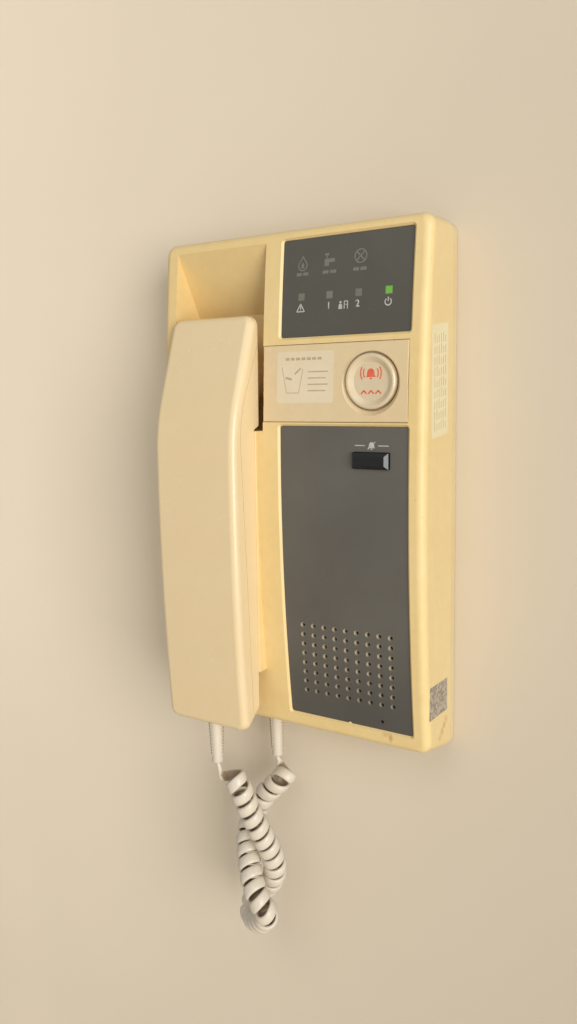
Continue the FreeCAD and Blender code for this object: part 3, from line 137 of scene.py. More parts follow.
# the curly cord: a flat vinyl wire wound round the line that hangs from the handset to the case
cordSize = {
    "route": [
        (-0.0355, -0.0410, -0.12715), (-0.0350, -0.0410, -0.12910), (-0.0316, -0.0410, -0.13140),
        (-0.0267, -0.0409, -0.13240), (-0.0247, -0.0402, -0.13550), (-0.0237, -0.0390, -0.13970),
        (-0.0221, -0.0368, -0.14780), (-0.0195, -0.0344, -0.15660), (-0.0174, -0.0316, -0.16440),
        (-0.0154, -0.0288, -0.17190), (-0.0142, -0.0262, -0.18030), (-0.0166, -0.0240, -0.18960),
        (-0.0228, -0.0226, -0.19780), (-0.0298, -0.0216, -0.20530), (-0.0339, -0.0210, -0.21230),
        (-0.0305, -0.0244, -0.21570), (-0.0200, -0.0320, -0.21030), (-0.0109, -0.0382, -0.20030),
        (-0.0137, -0.0398, -0.19410), (-0.0179, -0.0388, -0.18910), (-0.0218, -0.0358, -0.18480),
        (-0.0254, -0.0322, -0.18000), (-0.0291, -0.0280, -0.17540), (-0.0315, -0.0242, -0.17030),
        (-0.0321, -0.0206, -0.16560), (-0.0300, -0.0176, -0.15950), (-0.0267, -0.0158, -0.15290),
        (-0.0210, -0.0149, -0.14660), (-0.0154, -0.0144, -0.14100), (-0.0146, -0.0142, -0.13690),
        (-0.0174, -0.0140, -0.13400), (-0.0195, -0.0140, -0.13260), (-0.0195, -0.0140, -0.13115),
    ],
    "curlRadius": 0.00462,
    "width": 0.0050,
    "thick": 0.0022,
    "endRadius": 0.0010,
    "pitch": 0.00604,
    "pitchInBend": 0.0064,
    "bendHeight": 0.009,
    "bendHold": 1.6,
    "stretch": 0.0007,  # the upper curls hang wider apart
    "stretchFrom": -0.176,
    "stretchOver": 0.030,
    "startTurn": math.pi,
    # how the coil begins and ends: straight wire, run up to the first full curl, that curl's own direction
    "fromHandset": {"lead": 0.0008, "runUp": 0.010, "way": (0.42, -0.15, -0.90), "hold": 0.011},
    "intoCase": {"lead": 0.0010, "runUp": 0.0075, "way": (0.31, 0.78, 0.54), "hold": 0.013},
    "settle": 0.006,
    "ringPoints": 20,
    "squareness": 2.5,
}


def readRoute(points):
    curve = bpy.data.curves.new("cord-route", "CURVE")
    curve.dimensions = "3D"
    curve.resolution_u = 40
    spline = curve.splines.new("NURBS")
    spline.points.add(len(points) - 1)
    for place, (x, y, z) in zip(spline.points, points):
        place.co = (x, y, z, 1)
    spline.order_u = 3
    spline.use_endpoint_u = True
    holder = addObject("cord-route", curve)
    drawn = drawnMesh(holder)
    line = [v.co.copy() for v in drawn.vertices]
    bpy.data.objects.remove(holder)
    bpy.data.meshes.remove(drawn)
    return line


def eased(value):
    value = min(1.0, max(0.0, value))
    return value * value * (3 - 2 * value)


def windWire(line, size):
    # the wire's centre, its outward direction and how far it is in the coil, at each step
    run = [0.0]
    for a, b in zip(line, line[1:]):
        run.append(run[-1] + (b - a).length)
    lowest = min(p[2] for p in size["route"])
    side = Vector((1, 0, 0))
    angle = size["startTurn"]
    centres, outwards, shares = [], [], []
    for i, point in enumerate(line):
        way = (line[min(i + 1, len(line) - 1)] - line[max(i - 1, 0)]).normalized()
        share = 1.0
        for end, away in ((size["fromHandset"], run[i]), (size["intoCase"], run[-1] - run[i])):
            way = Vector(end["way"]).normalized().lerp(way, eased((away - end["hold"]) / size["settle"]))
            share = min(share, eased((away - end["lead"]) / end["runUp"]))
        way.normalize()
        side = (side - way * side.dot(way)).normalized()
        if i:
            bend = min(1.0, size["bendHold"] * max(0.0, 1 - (point.z - lowest) / size["bendHeight"]))
            hang = min(1.0, max(0.0, (point.z - size["stretchFrom"]) / size["stretchOver"]))
            pitch = size["pitch"] + (size["pitchInBend"] - size["pitch"]) * bend + size["stretch"] * hang
            # the wire turns only where the coil is more than four fifths open
            angle += 2 * math.pi * (run[i] - run[i - 1]) / pitch * max(0.0, 5 * share - 4)
        outward = side * math.cos(angle) + way.cross(side) * math.sin(angle)
        centres.append(point + outward * size["curlRadius"] * share)
        outwards.append(outward)
        shares.append(share)
    return centres, outwards, shares


def flatWire(name, centres, outwards, shares, size, first, last):
    # one closed tube with a flat, crowned section; its inner face is marked for the grime and painted shade
    mesh = bmesh.new()
    inner = mesh.verts.layers.float.new("inner_face")
    rings = []
    around, thin = size["ringPoints"], size["endRadius"]
    for i in range(first, last + 1):
        ahead = centres[min(i + 1, len(centres) - 1)] - centres[max(i - 1, 0)]
        ahead.normalize()
        out = (outwards[i] - ahead * outwards[i].dot(ahead)).normalized()
        across = ahead.cross(out)
        wide = thin + (size["width"] / 2 - thin) * shares[i]
        deep = thin + (size["thick"] / 2 - thin) * shares[i]
        power = 2 / (2 + (size["squareness"] - 2) * shares[i])
        ring = []
        for k in range(around):
            u, v = boxedCircle(2 * math.pi * k / around, power)
            corner = mesh.verts.new(centres[i] + across * (wide * u) + out * (deep * v))
            corner[inner] = shares[i] * max(0.0, -v)
            ring.append(corner)
        rings.append(ring)
    skin(mesh, rings)
    for ring in (rings[0], rings[-1]):
        mesh.faces.new(ring)
    bmesh.ops.recalc_face_normals(mesh, faces=mesh.faces)
    for ring in (rings[0], rings[-1]):
        for k in range(around):
            mesh.edges.get((ring[k], ring[(k + 1) % around])).smooth = False
    return makePiece(name, mesh)


def makeCord(size):
    line = readRoute(size["route"])
    centres, outwards, shares = windWire(line, size)
    low = min(range(len(line)), key=lambda i: line[i].z)
    runs = []
    for name, first, last in (("cord-from-handset", 0, low), ("cord-to-case", low, len(line) - 1)):
        piece = flatWire(name, centres, outwards, shares, size, first, last)
        path = [tuple(p) for p in centres[first:last + 1]]
        length = sum(math.dist(a, b) for a, b in zip(path, path[1:]))
        print(name, "%.3f m of wire" % length)
        runs.append((piece, path))
    return runs


(handsetCord, handsetPath), (caseCord, casePath) = makeCord(cordSize)
print("cord wound")


# small helpers for node trees: an input gets a plain value, or the socket that feeds it

def feed(tree, node, inputs):
    for key, value in inputs.items():
        if isinstance(value, bpy.types.NodeSocket):
            tree.links.new(value, node.inputs[key])
        else:
            node.inputs[key].default_value = value


def addNode(tree, kind, inputs=None, **settings):
    node = tree.nodes.new(kind)
    for key, value in settings.items():
        setattr(node, key, value)
    feed(tree, node, inputs or {})
    return node


def sumOf(tree, operation, *values):
    return addNode(tree, "ShaderNodeMath", dict(enumerate(values)), operation=operation).outputs[0]


def rangeOf(tree, value, start, end, low=0.0, high=1.0, smooth=False):
    node = addNode(tree, "ShaderNodeMapRange", {
        "Value": value, "From Min": start, "From Max": end, "To Min": low, "To Max": high})
    if smooth:
        node.interpolation_type = "SMOOTHSTEP"
    return node.outputs["Result"]


def rampOf(tree, share, *stops):
    # stops: two places, each with its colour
    node = addNode(tree, "ShaderNodeValToRGB", {"Fac": share})
    for element, (place, colour) in zip(node.color_ramp.elements, stops):
        element.position = place
        element.color = (*colour, 1)
    return node.outputs["Color"]


def blendColours(tree, share, first, second, mode="MIX"):
    first, second = ((*c, 1) if isinstance(c, tuple) else c for c in (first, second))
    mix = addNode(tree, "ShaderNodeMix", {0: share, 6: first, 7: second}, data_type="RGBA", blend_type=mode)
    return mix.outputs[2]


def scaled(tree, colour, factor):
    node = addNode(tree, "ShaderNodeVectorMath", {0: colour, "Scale": factor}, operation="SCALE")
    return node.outputs["Vector"]


def noiseOf(tree, where, scale, detail=3, roughness=0.5, distortion=0.0):
    return addNode(tree, "ShaderNodeTexNoise", {
        "Vector": where, "Scale": scale, "Detail": detail, "Roughness": roughness,
        "Distortion": distortion}).outputs["Fac"]


def bumpOf(tree, height, distance, under=None):
    node = addNode(tree, "ShaderNodeBump", {"Height": height, "Distance": distance, "Strength": 1.0})
    if under is not None:
        feed(tree, node, {"Normal": under})
    return node.outputs["Normal"]


def startFinish(name):
    finish = bpy.data.materials.new(name)
    finish.use_nodes = True
    tree = finish.node_tree
    where = tree.nodes.new("ShaderNodeTexCoord").outputs["Object"]
    return finish, tree, tree.nodes["Principled BSDF"], where


def endFinish(tree, shader, where, colour, look):
    # gloss, even or not, and a fine grain, on wide waves where the surface has them
    rough, waves = look["rough"], None
    if "sheen" in look:
        rough = rangeOf(tree, noiseOf(tree, where, *look["sheen"]), 0.3, 0.7, *rough)
    if "waviness" in look:
        waves = bumpOf(tree, noiseOf(tree, where, *look["waviness"]), look["waves"])
    grain = bumpOf(tree, noiseOf(tree, where, *look["graining"]), look["grain"], waves)
    metal = look.get("metal", 0.0)
    feed(tree, shader, {"Base Color": colour, "Metallic": metal, "Roughness": rough, "Normal": grain})


# aged plastic: colours and wear; a noise is given by its scale, detail, roughness and distortion
agedTones = {
    "cover": {"fresh": (0.825, 0.620, 0.290), "aged": (0.805, 0.585, 0.250), "rough": (0.36, 0.48),
              "grain": 0.000014},
    "base": {"fresh": (0.77, 0.585, 0.300), "aged": (0.74, 0.53, 0.24), "rough": (0.46, 0.58),
             "grain": 0.000020},
    "plate": {"fresh": (0.755, 0.590, 0.350), "aged": (0.735, 0.560, 0.315), "rough": (0.38, 0.48),
              "grain": 0.000014},
    "button": {"fresh": (0.715, 0.590, 0.395), "aged": (0.69, 0.555, 0.355), "rough": (0.20, 0.28),
               "grain": 0.000005},
    "handset": {"fresh": (0.800, 0.625, 0.365), "aged": (0.790, 0.605, 0.342), "rough": (0.24, 0.28),
                "grain": 0.000004, "mottle": 0.988, "waves": 0.00005, "dirt": 0.10},
}
agedLook = {
    "patches": (16, 4, 0.55, 0.4), "mottling": (210, 4, 0.6), "specks": (620, 2, 0.45),
    "sheen": (55, 4, 0.6), "waviness": (48, 2, 0.4), "graining": (2300, 2, 0.5),
    "mottle": 0.955, "waves": 0.00012, "dirt": 0.42,  # where a tone has none of its own
    "dirtFrom": (0.745, 0.80), "dirtColour": (0.30, 0.20, 0.09),
    "ragged": (420, 3, 0.6), "raggedBy": 0.9, "stainEdge": (1.35, 0.55), "stainColour": (0.56, 0.31, 0.10),
}


def stainMask(tree, where, spots, look):
    # soft round stains: centre, radii and strength, in millimetres
    total = None
    for centre, radii, strength in spots:
        place = addNode(tree, "ShaderNodeMapping", {
            "Vector": where, "Location": [c * mm for c in centre], "Scale": [r * mm for r in radii],
        }, vector_type="TEXTURE")
        length = addNode(tree, "ShaderNodeVectorMath", {0: place.outputs["Vector"]}, operation="LENGTH")
        ragged = noiseOf(tree, where, *look["ragged"])
        away = sumOf(tree, "MULTIPLY_ADD", ragged, look["raggedBy"], length.outputs["Value"])
        soft = rangeOf(tree, away, *look["stainEdge"], 0.0, strength, smooth=True)
        total = soft if total is None else sumOf(tree, "MAXIMUM", total, soft)
    return total


def agedPlastic(name, tone, spots=()):
    finish, tree, shader, where = startFinish(name)
    tone = {**agedLook, **tone}
    base = rampOf(tree, noiseOf(tree, where, *tone["patches"]), (0.34, tone["fresh"]), (0.66, tone["aged"]))
    faint = tone["mottle"]
    mottle = rampOf(tree, noiseOf(tree, where, *tone["mottling"]),
                    (0.3, (faint, faint - 0.004, faint - 0.012)), (0.7, (1.0, 1.0, 1.0)))
    colour = blendColours(tree, 1.0, base, mottle, "MULTIPLY")
    specks = rangeOf(tree, noiseOf(tree, where, *tone["specks"]), *tone["dirtFrom"], 0.0, tone["dirt"])
    colour = blendColours(tree, specks, colour, tone["dirtColour"])
    if spots:
        colour = blendColours(tree, stainMask(tree, where, spots, tone), colour, tone["stainColour"])
    endFinish(tree, shader, where, colour, tone)
    return finish


coverStains = (
    ((48.6, -29.5, -101.6), (1.8, 3.4, 3.4), 0.85),
    ((46.6, -30.0, -100.4), (3.8, 3.4, 2.0), 0.50),
    ((66.0, -10.0, -96.2), (3.0, 2.9, 2.8), 0.55),
    ((66.0, -12.2, -98.2), (3.0, 3.1, 3.0), 0.65),
    ((66.0, -14.4, -100.2), (3.0, 3.0, 3.0), 0.65),
    ((66.0, -16.6, -102.4), (3.0, 2.6, 2.8), 0.50),
)
handsetStains = (((-17.0, -46.0, 36.6), (0.9, 1.2, 1.1), 0.55),)
stains = {"cover": coverStains, "handset": handsetStains}
agedFinish = {kind: agedPlastic("aged-%s-plastic" % kind, tone, stains.get(kind, ()))
              for kind, tone in agedTones.items()}


# smoked plastic of the window, with its four lamps, and of the panel, with its rows of holes
windowTone = {
    "dark": (0.082, 0.075, 0.059),
    "pale": (0.098, 0.091, 0.073),
    "lamps": {
        "x": (8.5, 21.9, 35.3, 48.7), "z": 84.3, "size": 2.9, "soft": (1.16, 0.86), "glow": 0.25,
        "colours": ((0.175, 0.165, 0.125), (0.185, 0.175, 0.150), (0.175, 0.160, 0.130),
                    (0.125, 0.350, 0.045)),
    },
}
panelTone = {
    "dark": (0.106, 0.095, 0.077),
    "pale": (0.128, 0.117, 0.096),
    "holes": {
        "x": (7.7, 50.1), "z": (-56.5, -87.3), "pitch": (5.3, 4.4), "sink": 1.2, "bore": 0.45,
        # painted light: the rim colour stands for lamp light on the upper left of each hole's sunk rim, fading
        # towards the foot
        "rim": (0.42, 0.33, 0.22), "upTo": 0.9,
        "lit": (-1.4, 0.8, 0.25, 0.85), "foot": (-70, -88, 1.0, 0.55),  # two places, and the share at each
    },
}
smokedLook = {
    "haze": (22, 4, 0.6, 0.3), "dust": (900, 2, 0.5), "sheen": (38, 5, 0.65, 0.5), "rough": (0.30, 0.42),
    "waviness": (30, 2, 0.4), "waves": 0.00010, "graining": (3000, 2, 0.5), "grain": 0.000004,
    "dustShare": (0.16, 0.16, 0.16), "dustColour": (0.36, 0.31, 0.24),
    "fadeZ": (-50, -96), "fadeTo": 0.70,  # darker towards the panel's foot
}


def lampSquares(tree, shader, colour, x, z, lamps):
    half = lamps["size"] / 2 * mm
    for place, glow in zip(lamps["x"], lamps["colours"]):
        away = [sumOf(tree, "ABSOLUTE", sumOf(tree, "SUBTRACT", line, middle * mm))
                for line, middle in ((x, place), (z, lamps["z"]))]
        edges = (half * share for share in lamps["soft"])
        square = rangeOf(tree, sumOf(tree, "MAXIMUM", *away), *edges, smooth=True)
        colour = blendColours(tree, square, colour, glow)
    # only the last one is lit
    feed(tree, shader, {"Emission Color": blendColours(tree, square, (0.0, 0.0, 0.0), glow),
                        "Emission Strength": lamps["glow"]})
    return colour


def paintedLitRimMask(tree, x, z, holes):
    # painted light on the sunk rims of the grille's holes: tan where a lamp would light their upper left,
    # fading towards the foot
    masks, offs = [], []
    for line, ends, pitch in zip((x, z), (holes["x"], holes["z"]), holes["pitch"]):
        steps = sumOf(tree, "DIVIDE", sumOf(tree, "SUBTRACT", line, ends[0] * mm), pitch * mm)
        off = sumOf(tree, "SUBTRACT", steps, sumOf(tree, "ROUND", steps))
        offs.append(sumOf(tree, "MULTIPLY", off, pitch * mm))
        masks += [sumOf(tree, "GREATER_THAN", line, (min(ends) - pitch / 2) * mm),
                  sumOf(tree, "LESS_THAN", line, (max(ends) + pitch / 2) * mm)]
    away = sumOf(tree, "SQRT", sumOf(tree, "ADD", *(sumOf(tree, "MULTIPLY", off, off) for off in offs)))
    lean = sumOf(tree, "MULTIPLY_ADD", offs[1], holes["upTo"], sumOf(tree, "MULTIPLY", offs[0], -1.0))
    masks += [sumOf(tree, "LESS_THAN", away, holes["sink"] * mm),
              sumOf(tree, "GREATER_THAN", away, holes["bore"] * mm)]
    for value, (start, end, low, high), smooth in ((lean, holes["lit"], True), (z, holes["foot"], False)):
        masks.append(rangeOf(tree, value, start * mm, end * mm, low, high, smooth))
    mask = masks[0]
    for part in masks[1:]:
        mask = sumOf(tree, "MULTIPLY", mask, part)
    return mask


def smokedPlastic(name, tone):
    finish, tree, shader, where = startFinish(name)
    look = smokedLook
    haze = rampOf(tree, noiseOf(tree, where, *look["haze"]), (0.3, tone["dark"]), (0.7, tone["pale"]))
    dusty = noiseOf(tree, where, *look["dust"])
    dust = rampOf(tree, dusty, (0.70, (0.0, 0.0, 0.0)), (0.80, look["dustShare"]))
    apart = addNode(tree, "ShaderNodeSeparateXYZ", {"Vector": where}).outputs
    x, z = apart["X"], apart["Z"]
    fade = rangeOf(tree, z, *(end * mm for end in look["fadeZ"]), 1.0, look["fadeTo"], smooth=True)
    colour = scaled(tree, blendColours(tree, dust, haze, look["dustColour"]), fade)
    if "lamps" in tone:
        colour = lampSquares(tree, shader, colour, x, z, tone["lamps"])
    if "holes" in tone:
        # painted light on the lit side of each hole's sunk rim
        colour = blendColours(tree, paintedLitRimMask(tree, x, z, tone["holes"]), colour, tone["holes"]["rim"])
    endFinish(tree, shader, where, colour, look)
    return finish


windowFinish = smokedPlastic("smoked-window", windowTone)
panelFinish = smokedPlastic("smoked-panel", panelTone)


# small metal and moulded pieces
smallTones = {
    "black-key": {"colour": (0.008, 0.008, 0.008), "rough": 0.10, "worn": 1.3, "relief": 0.000001},
    "cord-vinyl": {"colour": (0.71, 0.620, 0.485), "rough": 0.34, "worn": 0.93, "patch": 90,
                   "relief": 0.000006},
    "switch-moulding": {"colour": (0.035, 0.035, 0.038), "rough": 0.5},
    "board-laminate": {"colour": (0.34, 0.21, 0.085), "rough": 0.45, "patch": 60},
    "zinc-sheet": {"colour": (0.62, 0.62, 0.60), "rough": 0.42, "metal": 1.0, "patch": 45},
    "screw-steel": {"colour": (0.66, 0.63, 0.55), "rough": 0.36, "metal": 1.0},
    "spring-wire": {"colour": (0.58, 0.58, 0.58), "rough": 0.28, "metal": 1.0},
    "capacitor-sleeve": {"colour": (0.03, 0.05, 0.12), "rough": 0.3},
    "cone-paper": {"colour": (0.035, 0.033, 0.030), "rough": 0.85, "grain": 900, "relief": 0.00006},
    "ferrite": {"colour": (0.060, 0.058, 0.056), "rough": 0.6, "metal": 0.3},
    "foam-rubber": {"colour": (0.085, 0.083, 0.080), "rough": 0.95, "grain": 1100, "relief": 0.00035},
    "capsule-can": {"colour": (0.68, 0.68, 0.68), "rough": 0.34, "metal": 1.0},
    "milky-lens": {"colour": (0.20, 0.18, 0.15), "rough": 0.3},
    "led-resin": {"colour": (0.36, 0.44, 0.32), "rough": 0.2},
    "capsule-moulding": {"colour": (0.06, 0.06, 0.06), "rough": 0.5},
    "iron-bar": {"colour": (0.24, 0.235, 0.23), "rough": 0.55, "metal": 1.0},
}
plainLook = {"worn": 0.8, "patch": 130, "metal": 0.0, "grain": 1800, "relief": 0.00001,
             "sheen": (260, 3, 0.6), "smooth": 0.85, "dull": 1.2}


def hardFinish(name, tone):
    # colour with patches, uneven gloss, a brushed or moulded grain
    finish, tree, shader, where = startFinish(name)
    tone = {**plainLook, **tone}
    worn = tuple(c * tone["worn"] for c in tone["colour"])
    patches = noiseOf(tree, where, tone["patch"], 4, 0.6, 0.5)
    endFinish(tree, shader, where, rampOf(tree, patches, (0.3, tone["colour"]), (0.7, worn)), {
        "rough": (tone["rough"] * tone["smooth"], tone["rough"] * tone["dull"]), "sheen": tone["sheen"],
        "metal": tone["metal"], "graining": (tone["grain"], 3, 0.6), "grain": tone["relief"]})
    return finish


smallFinish = {name: hardFinish(name, tone) for name, tone in smallTones.items()}
# brown on the curls' inner faces: partly grime, partly painted shade between the coils
curlGrimeAndShade = {"share": 0.85, "colour": (0.24, 0.155, 0.075), "edge": (0.15, 0.85)}


def vinylWithGrimeAndShade(name, tone, shadeAndGrime):
    # the cord's vinyl, browned on the inside of its curls: partly grime, partly painted shade between the coils
    finish = hardFinish(name, tone)
    tree = finish.node_tree
    shader = tree.nodes["Principled BSDF"]
    clean = shader.inputs["Base Color"].links[0].from_socket
    inside = addNode(tree, "ShaderNodeAttribute", attribute_name="inner_face").outputs["Fac"]
    brownedAndShaded = rangeOf(tree, inside, *shadeAndGrime["edge"], 0.0, shadeAndGrime["share"], smooth=True)
    feed(tree, shader, {"Base Color": blendColours(tree, brownedAndShaded, clean, shadeAndGrime["colour"])})
    return finish


curlFinish = vinylWithGrimeAndShade("curl-vinyl", smallTones["cord-vinyl"], curlGrimeAndShade)

nodeFinishes = (
    (agedFinish["cover"], "front_cover"),
    (agedFinish["base"], "rear_base", "hook_plunger"),
    (agedFinish["plate"], "middle_plate"),
    (agedFinish["button"], "emergency_button"),
    (agedFinish["handset"], "handset_front_shell", "handset_rear_shell"),
    (windowFinish, "upper_window"),
    (panelFinish, "lower_panel"),
    (smallFinish["black-key"], "stop_key"),
    (smallFinish["cord-vinyl"], "case_strain_relief", "handset_strain_relief"),
    (smallFinish["switch-moulding"], "light_shield", "emergency_switch", "stop_switch", "hook_switch",
     "board_pillars", "terminal_block", "relay", "speaker_straps"),
    (smallFinish["board-laminate"], "main_board", "indicator_board"),
    (smallFinish["zinc-sheet"], "wall_bracket", "speaker_basket"),
    (smallFinish["screw-steel"], "case_screws", "board_screws", "terminal_screws", "handset_screws"),
    (smallFinish["spring-wire"], "emergency_spring", "stop_spring", "hook_spring"),
    (smallFinish["capacitor-sleeve"], "capacitors"),
    (smallFinish["cone-paper"], "speaker_cone"),
    (smallFinish["ferrite"], "speaker_magnet"),
    (smallFinish["capsule-can"], "panel_microphone", "mouth_microphone"),
    (smallFinish["milky-lens"], "indicator_lenses"),
    (smallFinish["led-resin"], "indicator_leds"),
    (smallFinish["capsule-moulding"], "earpiece_capsule"),
    (smallFinish["iron-bar"], "handset_weight"),
)
for finish, *names in nodeFinishes:
    for name in names:
        cadNodes[name].data.materials.clear()
        cadNodes[name].data.materials.append(finish)
print("finishes made")


# the case's convex front, as the drawings give it
caseForm = {"depth": 34.2, "radius": 863.0, "crown": -5.0, "windowSink": 0.9, "halfWidth": 66.0}


def frontOut(z, inset=0.0):
    centre = caseForm["depth"] - caseForm["radius"]
    return centre + math.sqrt((caseForm["radius"] - inset) ** 2 - (z - caseForm["crown"]) ** 2)


def onFront(inset):
    return lambda u, v, lift: Vector((u, -(frontOut(v, inset) + lift), v)) * mm


def onSide(u, v, lift):
    return Vector((caseForm["halfWidth"] + lift, -u, v)) * mm


# flat shapes for print, as lists of corners

def bar(u0, v0, u1, v1):
    return [(u0, v0), (u1, v0), (u1, v1), (u0, v1)]


def arc(u, v, radius, start, end, step):
    turns = [math.radians(a) for a in range(start, end, step)]
    return [(u + radius * math.cos(a), v + radius * math.sin(a)) for a in turns]


def roundedRect(u0, u1, v0, v1, corner, steps=6):
    points = []
    for cu, cv, start in ((u1 - corner, v0 + corner, -90), (u1 - corner, v1 - corner, 0),
                          (u0 + corner, v1 - corner, 90), (u0 + corner, v0 + corner, 180)):
        for k in range(steps + 1):
            turn = math.radians(start + 90 * k / steps)
            points.append((cu + corner * math.cos(turn), cv + corner * math.sin(turn)))
    return points


def stroke(u0, v0, u1, v1, wide):
    length = math.hypot(u1 - u0, v1 - v0)
    du, dv = (v0 - v1) / length * wide / 2, (u1 - u0) / length * wide / 2
    return [(u0 + du, v0 + dv), (u0 - du, v0 - dv), (u1 - du, v1 - dv), (u1 + du, v1 + dv)]


def strokes(points, wide, closed=False):
    ends = points[1:] + points[:1] if closed else points[1:]
    return [stroke(*a, *b, wide) for a, b in zip(points, ends)]


def arcBand(u, v, radius, wide, start, end, steps):
    # a ring or part of one, as quads
    inner, outer = radius - wide / 2, radius + wide / 2
    turns = [math.radians(start + (end - start) * k / steps) for k in range(steps + 1)]
    quads = [((inner, a), (outer, a), (outer, b), (inner, b)) for a, b in zip(turns, turns[1:])]
    return [[(u + r * math.cos(a), v + r * math.sin(a)) for r, a in quad] for quad in quads]


layForm = {"strip": 2.0, "least": 0.2, "merge": 0.0005}


def layOn(name, shapes, place, finish, body, lift=0.02, thick=0.03, lettering=None):
    # flat shapes, cut into strips so that they follow the surface, and given a little thickness
    mesh = bmesh.new()
    for shape in shapes:
        mesh.faces.new([mesh.verts.new((u, 0, v)) for u, v in shape])
    if lettering:
        mesh.from_mesh(lettering)
    bmesh.ops.remove_doubles(mesh, verts=mesh.verts, dist=layForm["merge"])
    levels = [v.co.z for v in mesh.verts]
    level, high = min(levels) + layForm["strip"], max(levels)
    while level < high - layForm["least"]:
        bmesh.ops.bisect_plane(mesh, geom=mesh.verts[:] + mesh.edges[:] + mesh.faces[:],
                               plane_co=(0, 0, level), plane_no=(0, 0, 1))
        level += layForm["strip"]
    raised = bmesh.ops.extrude_face_region(mesh, geom=mesh.faces[:], use_keep_orig=True)
    for v in raised["geom"]:
        if isinstance(v, bmesh.types.BMVert):
            v.co.y = 1
    for v in mesh.verts:
        v.co = place(v.co.x, v.co.z, lift + (thick if v.co.y > 0.5 else 0))
    bmesh.ops.recalc_face_normals(mesh, faces=mesh.faces)
    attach(makePiece(name, mesh, finish), body)


inkLook = {"wear": (800, 4, 0.65), "rough": 0.45, "graining": (2600, 2, 0.5), "grain": 0.000004}


def inkFinish(name, colour, worn):
    finish, tree, shader, where = startFinish(name)
    wear = noiseOf(tree, where, *inkLook["wear"])
    endFinish(tree, shader, where, rampOf(tree, wear, (0.35, colour), (0.75, worn)), inkLook)
    return finish


whiteInk = inkFinish("white-ink", (0.56, 0.54, 0.50), (0.38, 0.36, 0.32))
faintInk = inkFinish("faint-ink", (0.205, 0.190, 0.155), (0.150, 0.140, 0.112))
redInk = inkFinish("red-ink", (0.76, 0.105, 0.045), (0.70, 0.20, 0.10))


def digitMesh(text, size, u, v):
    words = bpy.data.curves.new("digit", "FONT")
    words.body = text
    words.size = size
    words.align_x = words.align_y = "CENTER"
    words.resolution_u = 4
    words.offset = 0.02 * size
    holder = addObject("digit", words)
    drawn = drawnMesh(holder)
    bpy.data.objects.remove(holder)
    drawn.transform(Matrix.Translation((u, 0, v)) @ Matrix.Rotation(math.radians(90), 4, "X"))
    return drawn


# marks: their middle and height come first, and points are in parts of the height

def spread(u, v, high, points):
    return [(u + a * high, v + b * high) for a, b in points]


def mirrored(side):
    return side + [(-a, b) for a, b in reversed(side[1:])]


def warningMark(u, v, high):
    wide = high * 0.13
    left, right = u - wide / 2, u + wide / 2
    triangle = spread(u, v, high, [(-0.58, -0.5), (0.58, -0.5), (0, 0.5)])
    return strokes(triangle, wide, closed=True) + [bar(left, v - high * 0.16, right, v + high * 0.22),
                                                   bar(left, v - high * 0.34, right, v - high * 0.22)]


def powerMark(u, v, high):
    wide = high * 0.14
    ring = arcBand(u, v - high * 0.05, high * 0.40, wide, 125, 415, 20)
    return ring + [bar(u - wide / 2, v, u + wide / 2, v + high * 0.5)]


def visitorMark(u, v, high):
    # a caller in front of a door
    caller = u - 1.15
    head = arc(caller, v + high * 0.30, high * 0.15, 0, 360, 24)
    body = spread(caller, v, high, [(-0.26, -0.5), (0.26, -0.5), (0.24, -0.02), (0.12, 0.10),
                                    (-0.12, 0.10), (-0.24, -0.02)])
    wide = high * 0.11
    left, right, low, top = u + 0.45, u + 2.3, v - high * 0.5, v + high * 0.46
    return [head, body, bar(left, low, left + wide, top), bar(right - wide, low, right, top),
            bar(left + wide, top - wide, right - wide, top),
            bar(left + wide * 2.2, v - 0.2, left + wide * 3.4, v + 0.2)]


def bellMark(u, v, high):
    side = [(0.0, 0.42), (0.16, 0.38), (0.28, 0.26), (0.33, 0.08), (0.35, -0.14), (0.46, -0.28)]
    return [spread(u, v, high, mirrored(side)), arc(u, v - high * 0.34, high * 0.13, 180, 361, 20)]


def flameMark(u, v, high):
    side = [(0.0, 0.5), (0.10, 0.30), (0.28, 0.08), (0.36, -0.14), (0.30, -0.36), (0.12, -0.49)]
    core = [(-0.12, -0.34), (0.12, -0.34), (0.10, -0.10), (-0.02, 0.10), (-0.13, -0.12)]
    outer = strokes(spread(u, v, high, mirrored(side)), high * 0.09, closed=True)
    return outer + [spread(u, v, high, core)]


def tapMark(u, v, high):
    parts = ((-0.38, -0.42, -0.02, 0.08), (-0.02, -0.18, 0.44, 0.08), (-0.25, 0.12, -0.15, 0.26),
             (-0.36, 0.30, -0.04, 0.46))
    return [bar(u + a * high, v + b * high, u + c * high, v + d * high) for a, b, c, d in parts]


def crossedMark(u, v, high):
    reach, wide = high * 0.27, high * 0.09
    return arcBand(u, v, high * 0.44, wide, 0, 360, 28) + [
        stroke(u - reach, v - reach, u + reach, v + reach, wide),
        stroke(u - reach, v + reach, u + reach, v - reach, wide)]


# the window's captions and faint icons, and the stop key's mark; places give x, z and height
windowMarks = {
    "warning": (8.2, 79.9, 3.2), "visitor": (28.3, 79.9, 3.3), "power": (48.5, 79.9, 3.4),
    "digits": (("1", 3.9, 21.6, 79.9), ("2", 3.9, 34.9, 79.9)),
    "flame": (8.6, 98.0, 5.8), "tap": (21.2, 98.4, 5.8), "crossed": (35.6, 98.6, 6.0),
    "ruleZ": (92.9, 94.2), "ruleGap": (-0.4, 0.3), "rules": ((8.6, 5.6), (21.4, 6.4), (35.4, 6.0)),
}
keyMarks = {"bell": (42.6, 23.3, 3.5), "slash": (40.9, 21.8, 44.3, 24.9, 0.32),
            "bars": ((35.0, 23.1, 39.6, 23.5), (45.6, 23.1, 50.2, 23.5))}


